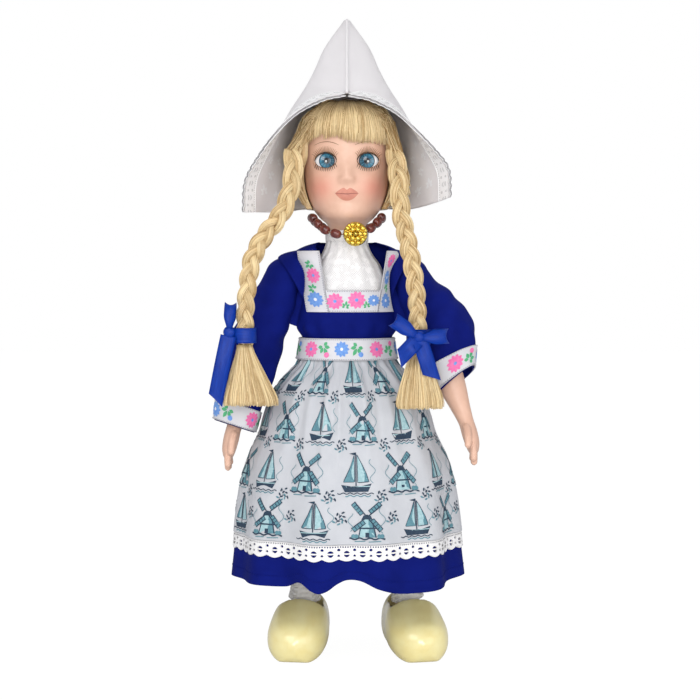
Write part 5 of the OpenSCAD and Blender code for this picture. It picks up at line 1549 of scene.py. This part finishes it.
def boat():
    yield [(-6.8, -4.9), (-2, -5.6), (3, -5.5), (7.8, -4.2), (6, -8), (-5, -8.3)], NAVY
    yield [(-6, -5.9), (7, -5.5)], PALE, 0.4
    yield [(0.4, -5.4), (0.6, 10)], NAVY, 0.55
    sail = [(1.2, 9), (3.4, 5), (5.4, 0.6), (6.6, -3.4), (1.2, -3.9)]
    yield sail, PALE
    yield [(3.0, 5.6), (5.4, 0.6), (6.6, -3.4), (4.4, -3.6)], TEAL
    yield sail + sail[:1], NAVY, 0.35
    jib = [(-0.2, 8.6), (-2.4, 3), (-5.8, -3.6), (-0.2, -3.6)]
    yield jib, TEAL
    yield [(-0.4, 6), (-1.8, 1.5), (-3, -3.4), (-0.4, -3.4)], PALE
    yield jib + jib[:1], NAVY, 0.35
    yield [(0.6, 10), (-2.8, 9.4), (0.6, 8.6)], NAVY
    x = np.linspace(0, 1, 20)
    yield vec(8.6 - 1.5 * np.sin(9 * x), -4 + 11 * x), TEAL, 0.28
    x = np.linspace(-8.5, 8.5, 26)
    yield vec(x, -8.9 + 0.35 * np.sin(x * 1.9)), NAVY, 0.45
    x = x * 0.7 + 1.2
    yield vec(x, -10 + 0.35 * np.sin(x * 1.9)), TEAL, 0.45


def posy():
    """Leaves round a heart, each a golden angle further."""
    for k in range(11):
        a, r = math.radians(k * 137.5), 0.9 + 0.24 * k
        leaf = [(0.95, 0), (0.3, 0.42), (-0.5, 0.36), (-0.95, 0), (-0.5, -0.36), (0.3, -0.42)]
        turned_leaf = (spin(x, y, a + 0.8) for x, y in leaf)
        yield [(r * math.cos(a) + x, -r * math.sin(a) - y) for x, y in turned_leaf], NAVY if k % 3 else TEAL
    for turn in (20, 140, 260):
        yield [(0, 0), (2.6 * cosd(turn), -2.6 * sind(turn))], NAVY, 0.25


print("steps:", *(len(list(motif())) for motif in (windmill, boat, posy)))


# %% Apron print
def draw(p, steps, u, v, size=1.0):
    """Puts a drawing at a place; its y runs upward and v downward."""
    p.level = 0.0
    for points, ink, *width in steps:
        placed = [(u + size * x, v - size * y) for x, y in points]
        if width:
            p.line(placed, *width, ink)
        else:
            p.area(placed, ink)


def on_apron(u, v, lift):
    return on_skirt(v / SKIRT_LONG, u / 0.9, 1.9 + lift)


motifs = Print(on_apron, 0.14)
for row, v in enumerate((11.5, 33.5, 56.6, 78.0)):
    for col in range(-4, 4):
        u = 7 + 24 * col + (2 if row % 2 else -3)
        if abs(u) < 80:
            steps = windmill() if (row + col) % 2 else boat()
            draw(motifs, steps, u, v, 0.92 if v > 70 else 0.98)
        if abs(u + 12) < 84:
            draw(motifs, posy(), u + 12, v + 10.5 if row < 3 else v - 1)
put(motifs.build("apron_motifs", PRINT), "torso", "apron_cloth")

# %% [markdown]
# ## Waist ribbon
# A ribbon covers the seam of bodice and skirt. Its girth is measured first, so that a whole number of
# repeats goes round and the flowers meet at the back.

# %% Waist ribbon
WAIST_ROWS = [(144.75, (24.6, 18.1, 18.1)), (150, (23.6, 17.1, 17.1)), (155.25, (22.9, 17.2, 16.6))]
WAIST_Z, WAIST_REPEATS = 150.0, 4
A, Z = np.meshgrid(np.arange(180) * 2.0, np.linspace(144.75, 155.25, 14))
V = curve(WAIST_ROWS, Z)
belt = cloth("waist_ribbon", oval(V, A, 0.6, Z), oval(V, A, 0, Z), TRIM, A * 0.0036, Z * 0.01, True)
put(belt, "torso", "ribbon_trim", "waistband")
turn = np.linspace(-180, 180, 721)
level = np.full(721, WAIST_Z)
far = lengths(oval(curve(WAIST_ROWS, level), turn, 0.6, level))
far -= np.interp(0, turn, far)
girth = far[-1] - far[0]
fit = girth / (WAIST_REPEATS * REPEAT)


def on_waist(u, v, lift):
    z = WAIST_Z + v
    return oval(curve(WAIST_ROWS, z), np.interp(u * fit, far, turn, period=girth), 0.6 + lift, z)


band = Print(on_waist, 0.12)
ribbon_run(band, far[0] / fit, far[-1] / fit, -19.1)
put(band.build("waist_flowers", PRINT), "torso", "ribbon_trim")

# %% [markdown]
# ## Arms
# Cloth upper arms are stuffed, and the bisque forearms are tied into them. All is drawn on an arm that
# hangs straight down and then turned to its place, which an Empty as parent could do as well.

# %% Arm frame
SPLAY, REACH = {"right": 18, "left": 20.5}, {"right": 7, "left": 17}
SLEEVE = {"right": 77.0, "left": 57.0}
SLEEVE_ROWS = {
    "right": [
        (0, (0, 9, 9)), (7, (0.4, 9.8, 9.8)), (20, (1.8, 12, 11.2)), (40, (2.6, 13, 12)),
        (63, (1.6, 11.8, 11.2)), (77, (0, 10, 10)),
    ],
    "left": [
        (0, (0, 9, 9)), (7, (0.8, 10.2, 9.8)), (17.1, (3.6, 13.4, 11.4)), (30.2, (5, 15, 12.4)),
        (45, (4, 13.4, 11.8)), (57, (2.4, 10.8, 10)),
    ],
}
SHOULDER_X, SHOULDER_Z, ELBOW = 31, 185, 49.5


def at_shoulder(side, p):
    """From an arm that hangs straight down at the origin to its place on the doll."""
    s = SIDES[side]
    x, y, z = p[..., 0], p[..., 1], p[..., 2]
    y, z = spin(y, z, math.radians(-REACH[side]))
    z, x = spin(z, x, math.radians(-s * SPLAY[side]))
    return vec(x + s * SHOULDER_X, y, z + SHOULDER_Z)


def sleeve_at(side, d, a, grow):
    """The sleeve in the frame of its arm; above the pivot it closes in a ball."""
    s, n = SIDES[side], SLEEVE[side]
    d, a = np.broadcast_arrays(np.asarray(d, float), np.asarray(a, float))
    v = curve(SLEEVE_ROWS[side], np.maximum(d, 0))
    wrinkle = 0.75 * np.clip(d / 14, 0, 1) * cosd(4 * a + 9 * d + s * 40) * bell(d - n * 0.6, n * 0.35)
    low = 0.4 * cosd(7 * a - 13 * d) * bell(d - n * 0.7, n * 0.16)
    high = 0.45 * cosd(2 * a + 30 * d) * bell(d - n * 0.3, n * 0.2)
    g = grow + (wrinkle + low + high) * ease(d, 0, 12)
    up = np.clip(-d / 9, 0, 1) * 88
    tilt = 3.4 * np.clip(d / 57, 0, 2) ** 3 * s * cosd(a) if side == "left" else 0
    x = s * v[..., 0] + (v[..., 1] + g) * cosd(a) * cosd(up)
    return vec(x, (v[..., 2] + g) * sind(a) * cosd(up), np.where(d < 0, (9 + g) * sind(up), -d + tilt))


def on_arm(side, d, a, grow):
    return at_shoulder(side, sleeve_at(side, d, a, grow))


print("sleeves in mm:", SLEEVE)

# %% [markdown]
# ## Sleeves
# Each sleeve is a tube with soft wrinkles, closed in a ball about the shoulder, so that it turns there
# without a gap. A cloth simulation would wrinkle it anew at each change; a formula stays as it is.


# %% Sleeves and cuffs
for side in SIDES:
    n = SLEEVE[side]
    round_arm = np.arange(120) * 3.0
    A, D = np.meshgrid(round_arm, np.concatenate([np.linspace(-9, -0.5, 14), np.linspace(0, n, 80)]))
    outer, inner = on_arm(side, D, A, 0), on_arm(side, D, A, -0.8)
    sleeve = cloth("dress_sleeve_" + side, outer, inner, DRESS, A * 0.002, D * 0.01, True)
    put(sleeve, "arm_" + side, "dress_cloth", "sleeve_" + side)
    A, D = np.meshgrid(round_arm, np.linspace(n - RIBBON, n - 0.4, 14))
    outer, inner = on_arm(side, D, A, 0.9), on_arm(side, D, A, 0.3)
    cuff = cloth("cuff_ribbon_" + side, outer, inner, TRIM, A * 0.002, D * 0.01, True)
    put(cuff, "arm_" + side, "ribbon_trim", "cuff_trim_" + side)

    def on_cuff(u, v, lift, side=side, n=n):
        return on_arm(side, n - 5.45 + v, u / 0.2, 0.9 + lift)

    p = Print(on_cuff, 0.12)
    ribbon_run(p, 0, 71.5, -16.6 if side == "left" else -9.1)
    put(p.build("cuff_flowers_" + side, PRINT), "arm_" + side, "ribbon_trim")

# %% [markdown]
# ## Shoulder cloth
# The dress is sewn to its sleeves. A short tube over the joint and a gusset under the arm carry the
# blue across from the body to the shoulder.

# %% Cloth over and under the shoulder joint
for side, s in SIDES.items():
    A, K = np.meshgrid(np.arange(72) * 5.0, np.linspace(0, 1, 24))
    first = vec(s * 17 + 3, -3.5 * sind(A), 182.5 + 16.3 * cosd(A))
    middle = vec(s * (24.5 + 3.5 * cosd(A)), -9.6 * sind(A), 184.5 + 12.6 * cosd(A))
    rise = 22 + 33 * cosd(A)
    last = at_shoulder(side, 9.6 * vec(s * cosd(rise) * cosd(A), -cosd(rise) * sind(A), sind(rise)))
    k = K[..., None]
    outer = first * (1 - k) * (1 - 2 * k) + middle * 4 * k * (1 - k) + last * k * (2 * k - 1)
    inner = outer + 0.06 * (outer.mean(axis=1, keepdims=True) - outer)
    yoke = cloth("shoulder_cloth_" + side, outer, inner, DRESS, A * 0.0018, K * 0.25, True)
    s * 0.02
    s * 0.028
    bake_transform(yoke)
    under = ("dress_top", "dress_sleeve_" + side)
    0.013 if s > 0 else 0.019
    K, M = np.meshgrid(np.linspace(0, 1, 14), np.linspace(0, 1, 40))
    from_body = vec(s * np.interp(M, [0, 0.7, 1], [17.4, 18.6, 20]), -4 + 2 * M, 191 - 32 * M)
    from_arm = on_arm(side, 2 + (26 if s > 0 else 19) * M, 180.0 if s > 0 else 0.0, -3.4)
    web = from_body + (from_arm - from_body) * K[..., None]
    web[..., 1] -= 1.5 * np.sin(np.pi * K) * M
    half = np.array([0, 0.3, 0])
    gusset = cloth("underarm_cloth_" + side, web - half, web + half, DRESS, K * 0.1, M * 0.32)
    s * 0.0215
    s * 0.028
    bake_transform(gusset)
    0.0125 if s > 0 else 0.010
    print(yoke.name, "and", gusset.name, "bend between torso and shoulder")

# %% [markdown]
# ## Hands
# A hand is poured in a mould, where slip fills every corner softly. Palm, four fingers and a thumb
# could be sculpted; a voxel remesh of simple solids, then a little smoothing, gives the same look.


# %% Melted and stuffed forms
def rod_rings(path, radius, n=16):
    path = np.asarray(path, float)
    way = unit(np.gradient(path, axis=0))
    u = unit(np.cross(way, [0.13, 1, 0.2]))
    v = np.cross(way, u)
    a = np.arange(n) * 360 / n
    r = np.asarray(radius, float)[:, None, None]
    return path[:, None] + r * (u[:, None] * cosd(a)[None, :, None] + v[:, None] * sind(a)[None, :, None])


def soften(obj, voxel, rounds):
    """Melts a form into voxels and smooths it."""
    melt = obj.modifiers.new("melt", "REMESH")
    melt.mode, melt.voxel_size = "VOXEL", voxel * MM
    soft = obj.modifiers.new("soft", "SMOOTH")
    soft.factor, soft.iterations = 0.5, rounds


def melted(name, solids, voxel, rounds, paint):
    """Closed solids melted into one smooth form."""
    points, faces, _ = join([(*solid, 0) for solid in solids])
    obj = make(name + "_raw", points, faces, paint)
    soften(obj, voxel, rounds)
    return plain(obj, name, paint)


def muslin(name, rings, body, node):
    """A stuffed piece of body cloth through rings."""
    points, faces = closed_loft(rings)
    return put(make(name, points, faces, MUSLIN, points[:, [0, 2]] * 0.01), body, "body_cloth", node)


print("melting and stuffing tools ready")

# %% Arms and hands
ARM_ROWS = [(6.2, 0.1), (7.4, -0.4), (8, -9.9), (8, -22.3), (7.6, -34.6), (7.1, -42.5), (6.6, -44.1)]
ARM_ROWS += [(6.6, -45.5), (7, -48.5), (6.8, -49.4), (5.5, -49.5), (5.5, -42.6), (0.3, -42.5)]
HAND_ROWS = [
    (-6.6, (5.2, 5.2, 0)), (-0.2, (5.2, 5.2, 0)), (0.4, (7, 7, 0)), (9.9, (6.4, 6.6, 0)),
    (20.8, (4.6, 4.8, 0)), (27.7, (3.7, 4.2, 0)), (33.7, (3.8, 5.7, -0.4)), (39.6, (3.3, 6.0, -1)),
    (43, (2.2, 5.0, -1.6)),
]
for side, s in SIDES.items():
    d = np.linspace(-6.6, 43, 60)
    v = curve(HAND_ROWS, d)
    a = np.arange(28) * 360 / 28
    palm = vec(s * v[:, 2:] + v[:, :1] * cosd(a)[None], v[:, 1:2] * sind(a)[None], -ELBOW - d[:, None])
    solids = [closed_loft(at_shoulder(side, palm))]
    u = np.linspace(0, 1, 12)
    ball = np.sqrt(np.clip(1 - np.clip((u - 0.86) / 0.14, 0, 1) ** 2, 0.02, 1))
    ball = ball * np.interp(u, [0, 0.1], [0.6, 1])
    for y, long, bent in ((-4.4, 9.2, 2.6), (-1.5, 10.6, 3.0), (1.5, 10.0, 3.2), (4.2, 7.6, 3.2)):
        path = vec(s * (-1 - bent * u**1.6), y * (1 - 0.12 * u), -ELBOW - 38.4 - long * u)
        solids.append(closed_loft(rod_rings(at_shoulder(side, path), (1.95 - 0.45 * u) * ball)))
    out = 1.25 if s > 0 else 0.85
    x, y = s * (-1 - 2.6 * out * u**2), -3.0 - 4.4 * out * sind(100 * u)
    path = vec(x, y, -ELBOW - 49.5 * (0.6 + 0.24 * u))
    solids.append(closed_loft(rod_rings(at_shoulder(side, path), (2.1 - 0.5 * u) * ball)))
    hand = melted("forearm_bisque_" + side, solids, 0.38, 5, BISQUE)
    put(hand, "arm_" + side, "bisque", "forearm_" + side)

    rings = at_shoulder(side, turned(ball_rows(4.7, -86, 0, 14) + ARM_ROWS, 40))
    arm = muslin("upper_arm_cloth_" + side, rings, "arm_" + side, "upper_arm_" + side)
    rings = at_shoulder(side, turned(ball_rows(4.4, -86, 86, 24), 40))
    tab = muslin("shoulder_tab_cloth_" + side, rings, "shoulder_tab_" + side, "shoulder_tab_" + side)

# %% [markdown]
# ## Legs
# The legs are stuffed to the knee and bisque below, in knitted socks. They too are drawn straight and
# then laid along the line from hip to ankle. Ribs of the knitting are in the form, stitches in the wool.

# %% Legs
HIPS = {side: np.array([14.0 * s, 0, 118]) for side, s in SIDES.items()}
ANKLES = {"right": np.array([-21.0, 7, 26]), "left": np.array([30.0, 7, 26])}


def along_leg(side, p):
    """From a leg that hangs straight down at the origin to its place on the doll."""
    way = unit(HIPS[side] - ANKLES[side])
    x, y, z = p[..., 0], p[..., 1], p[..., 2]
    z, x = spin(z, x, math.acos(way[2]))
    x, y = spin(x, y, math.atan2(way[1], way[0]))
    return vec(x, y, z) + HIPS[side]


THIGH_ROWS = [(9.1, -13.8), (8.4, -29.9), (7.4, -38), (6.8, -40), (6.8, -41.6), (7.2, -45), (7, -46)]
THIGH_ROWS += [(5.7, -46), (5.7, -39.2), (0.3, -39)]
a = np.arange(60) * 6.0
for side in SIDES:
    run = np.linalg.norm(HIPS[side] - ANKLES[side])
    rings = along_leg(side, turned(ball_rows(9, 86, 0, 14) + THIGH_ROWS, 60))
    thigh = muslin("upper_leg_cloth_" + side, rings, "leg_" + side, "upper_leg_" + side)
    sock_rows = [(46, 7), (58, 7.6), (70, 7.2), (82, 6.3), (run - 3, 6.2), (run + 6, 8)]
    d = np.linspace(56 / 92 * run, run + 1, 50)
    r = curve(sock_rows, d)[:, None] + 0.3
    rib = 0.16 * np.cos(np.radians(a * 20))[None]
    wool = 0.95 + rib + 0.12 * np.sin(d * 3.4)[:, None]
    sock = (vec(k * cosd(a)[None], k * sind(a)[None], -d[:, None]) for k in (r + wool, r))
    outer, inner = (along_leg(side, k) for k in sock)
    sock = make("knit_sock_" + side, *shell(outer, inner, True), WOOL)
    put(sock, "leg_" + side, "wool", "sock_" + side)

# %% [markdown]
# ## Clogs
# A clog is carved from one block: a full outer form, less a hollow for the foot, with its edges rubbed
# round. A Boolean takes the hollow out, and a voxel remesh with smoothing rubs the edges.

# %% Clogs
CLOG_ROWS = [
    (0, (0.1, 0.3, 0.4)), (0.03, (0.42, 0.14, 0.53)), (0.1, (0.74, 0.03, 0.66)),
    (0.22, (0.95, 0, 0.76)), (0.36, (1, 0, 0.88)), (0.5, (0.97, 0, 1)), (0.66, (0.86, 0.05, 0.98)),
    (0.8, (0.8, 0, 0.92)), (0.92, (0.7, 0, 0.94)), (0.98, (0.5, 0.03, 0.92)), (1, (0.3, 0.1, 0.86)),
]
HOLLOW_ROWS = [
    (0.14, (0.3, 0.3, 0.42)), (0.2, (0.66, 0.22, 0.56)), (0.34, (0.95, 0.19, 0.74)),
    (0.46, (1, 0.18, 0.88)), (0.52, (1, 0.18, 1.25)), (0.7, (0.98, 0.18, 1.4)),
    (0.86, (0.9, 0.18, 1.4)), (0.935, (0.66, 0.22, 1.4)),
]
PLACES = {"right": (-21.0, -8.0), "left": (30.0, 12.0)}
CLOG_HALF, CLOG_HIGH, CLOG_LONG = 14.5, 27.5, 56


def power(c, k):
    return np.sign(c) * np.abs(c) ** k


def in_place(side, p):
    """From a clog at the origin, toe forward, to its place on the floor."""
    shift, turn = PLACES[side]
    x, y = spin(p[..., 0], p[..., 1], math.radians(turn))
    return vec(x + shift, y + 7, p[..., 2])


for side in SIDES:
    u = np.linspace(0, 1, 60) ** 1.15
    a = np.arange(64) * 360 / 64
    v = curve(CLOG_ROWS, u)
    wide, low, high = v[:, :1] * CLOG_HALF, v[:, 1:2] * CLOG_HIGH, v[:, 2:] * CLOG_HIGH
    mid = low + (high - low) * 0.45
    c, d = cosd(a)[None], sind(a)[None]
    sole = np.maximum(low, mid + (mid - low) * 1.18 * d)
    z = np.maximum(np.where(d > 0, mid + (high - mid) * np.abs(d) ** 0.8, sole), 0)
    block = closed_loft(in_place(side, vec(wide * power(c, 0.8), (u[:, None] - 0.7) * CLOG_LONG, z)))
    u = np.linspace(0.14, 0.935, 50)
    v = curve(HOLLOW_ROWS, u)
    wide = v[:, :1] * (curve(CLOG_ROWS, u)[:, :1] * CLOG_HALF - 3)
    low, high = np.maximum(5, v[:, 1:2] * CLOG_HIGH), v[:, 2:] * CLOG_HIGH
    mid = (low + high) / 2
    z = mid + (high - mid) * power(d, 0.7)
    hollow = closed_loft(in_place(side, vec(wide * power(c, 0.7), (u[:, None] - 0.7) * CLOG_LONG, z)))
    knife = make("hollow", *hollow, WOOD)
    clog = make("clog_raw", *block, WOOD)
    carve = clog.modifiers.new("carve", "BOOLEAN")
    carve.operation, carve.solver, carve.object = "DIFFERENCE", "EXACT", knife
    soften(clog, 0.5, 8)
    clog = plain(clog, "clog_wood_" + side, WOOD)
    bpy.data.objects.remove(knife)
    co = np.empty(len(clog.data.vertices) * 3, np.float32)
    clog.data.vertices.foreach_get("co", co)
    co[2::3] = np.maximum(co[2::3], 0)
    clog.data.vertices.foreach_set("co", co)
    clog.data.update()
    put(clog, "leg_" + side, "clog_wood", "clog_" + side)

# %% [markdown]
# ## Bows
# Satin ribbon closes each plait. A ribbon is a path with a width; the loops are drawn as flat ovals
# that start and end at the knot.


# %% A band of satin
SATIN_THICK = 0.6


def ribbon(path, across, cup=0.0, slant=0.0):
    """A band along a path, its width along one way, bent across by cup and cut at a slant."""
    path = np.asarray(path, float)
    k = np.linspace(-0.5, 0.5, 7)
    way = np.gradient(path, axis=0)
    normal = unit(np.cross(way, across))[:, None]
    grid = path[:, None] + k[None, :, None] * np.asarray(across, float)
    grid = grid + normal * (cup * (1 - 4 * k**2))[None, :, None]
    far = lengths(path)
    grid = grid + (unit(way) * ease(far / far[-1], 0.5, 1)[:, None])[:, None] * (slant * k)[None, :, None]
    half = normal * SATIN_THICK / 2
    return layer(grid + half, grid - half, far[:, None] * 0.01, k[None] * 0.07)


def across(way, wide):
    return np.array([way[2], 0, -way[0]]) / math.hypot(way[0], way[2]) * wide


print("satin:", SATIN_THICK, "mm thick")

# %% Bows
KNOTS = {"left": (0, -7.55, 0), "right": (-6.85, -3.4, 1.6)}
LOOPS = {"left": [((-0.82, 0, 0.56), 13.5), ((0.99, 0, 0.05), 12.5)], "right": [((0.05, 0, 1), 12.5)]}
LOOP_WIDE = {"left": 7.0, "right": 5.4}
TAILS = {
    "left": [((-0.68, -0.1, -0.72), 12), ((0.3, -0.1, -0.95), 18)],
    "right": [((-0.2, -0.04, -0.98), 31)],
}
for side in SIDES:
    mid = np.array(PLAITS[side][-1][1]) + np.array([0, 0, 4.0])
    knot = mid + np.array(KNOTS[side])
    turn = np.linspace(0, 358, 90)
    ring = mid + vec(5.4 * cosd(turn), 5.4 * sind(turn), 0)
    parts = [ribbon(np.concatenate([ring, ring[:1]]), (0, 0, 7.2))]
    for way, long in LOOPS[side]:
        way = np.array(way)
        e = np.linspace(24, 336, 50)[:, None]
        path = knot + way * (0.8 + (long * 0.45 + 0.9) * (1 - cosd(e))) + np.array([0, -3.4, 0]) * sind(e)
        pinch = 0.45 + 0.55 * ease(1 - cosd(e[:, 0]), 0.1, 1.1)
        points, faces, uv = ribbon(path, across(way, LOOP_WIDE[side]), 1.3)
        rows = np.tile(np.repeat(np.arange(50), 7), 2)
        points = path[rows] + (points - path[rows]) * pinch[rows][:, None]
        parts.append((points, faces, uv))
    for way, long in TAILS[side]:
        way = np.array(way)
        k = np.linspace(0, 1, 40)[:, None]
        path = knot + way * (1.6 + long * k) + np.array([0, -1, 0]) * (1.6 + 1.2 * sind(240 * k))
        parts.append(ribbon(path, across(way, 7.4), 1.0, -5.0))
    e, a = np.meshgrid(np.linspace(-84, 84, 16), np.arange(24) * 15.0, indexing="ij")
    ball = knot + vec(2.9 * cosd(e) * cosd(a), 2.0 * cosd(e) * sind(a), 3.0 * sind(e))
    points, faces = closed_loft(ball)
    parts.append((points, faces, (points - knot)[:, [0, 2]] * 0.01))
    bow = sewn("satin_bow_" + side, parts, SATIN, "braid_" + side, "satin", "bow_" + side)

# %% [markdown]
# ## Pieces that stay as they are
# Hidden fittings, such as ties and plaster, keep their CAD form and only take a material.

# %% Fittings
KEPT = {"eye_setting": PLASTER, "crown_pate": CARD, "necklace_cord": CORD}
for side in SIDES:
    KEPT["arm_tie_" + side] = KEPT["leg_tie_" + side] = CORD
    KEPT["lower_leg_" + side] = BISQUE
for name, mat in KEPT.items():
    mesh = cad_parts[name].data
    mesh.materials.clear()
    mesh.materials.append(mat)
print("kept:", ", ".join(sorted(KEPT)))
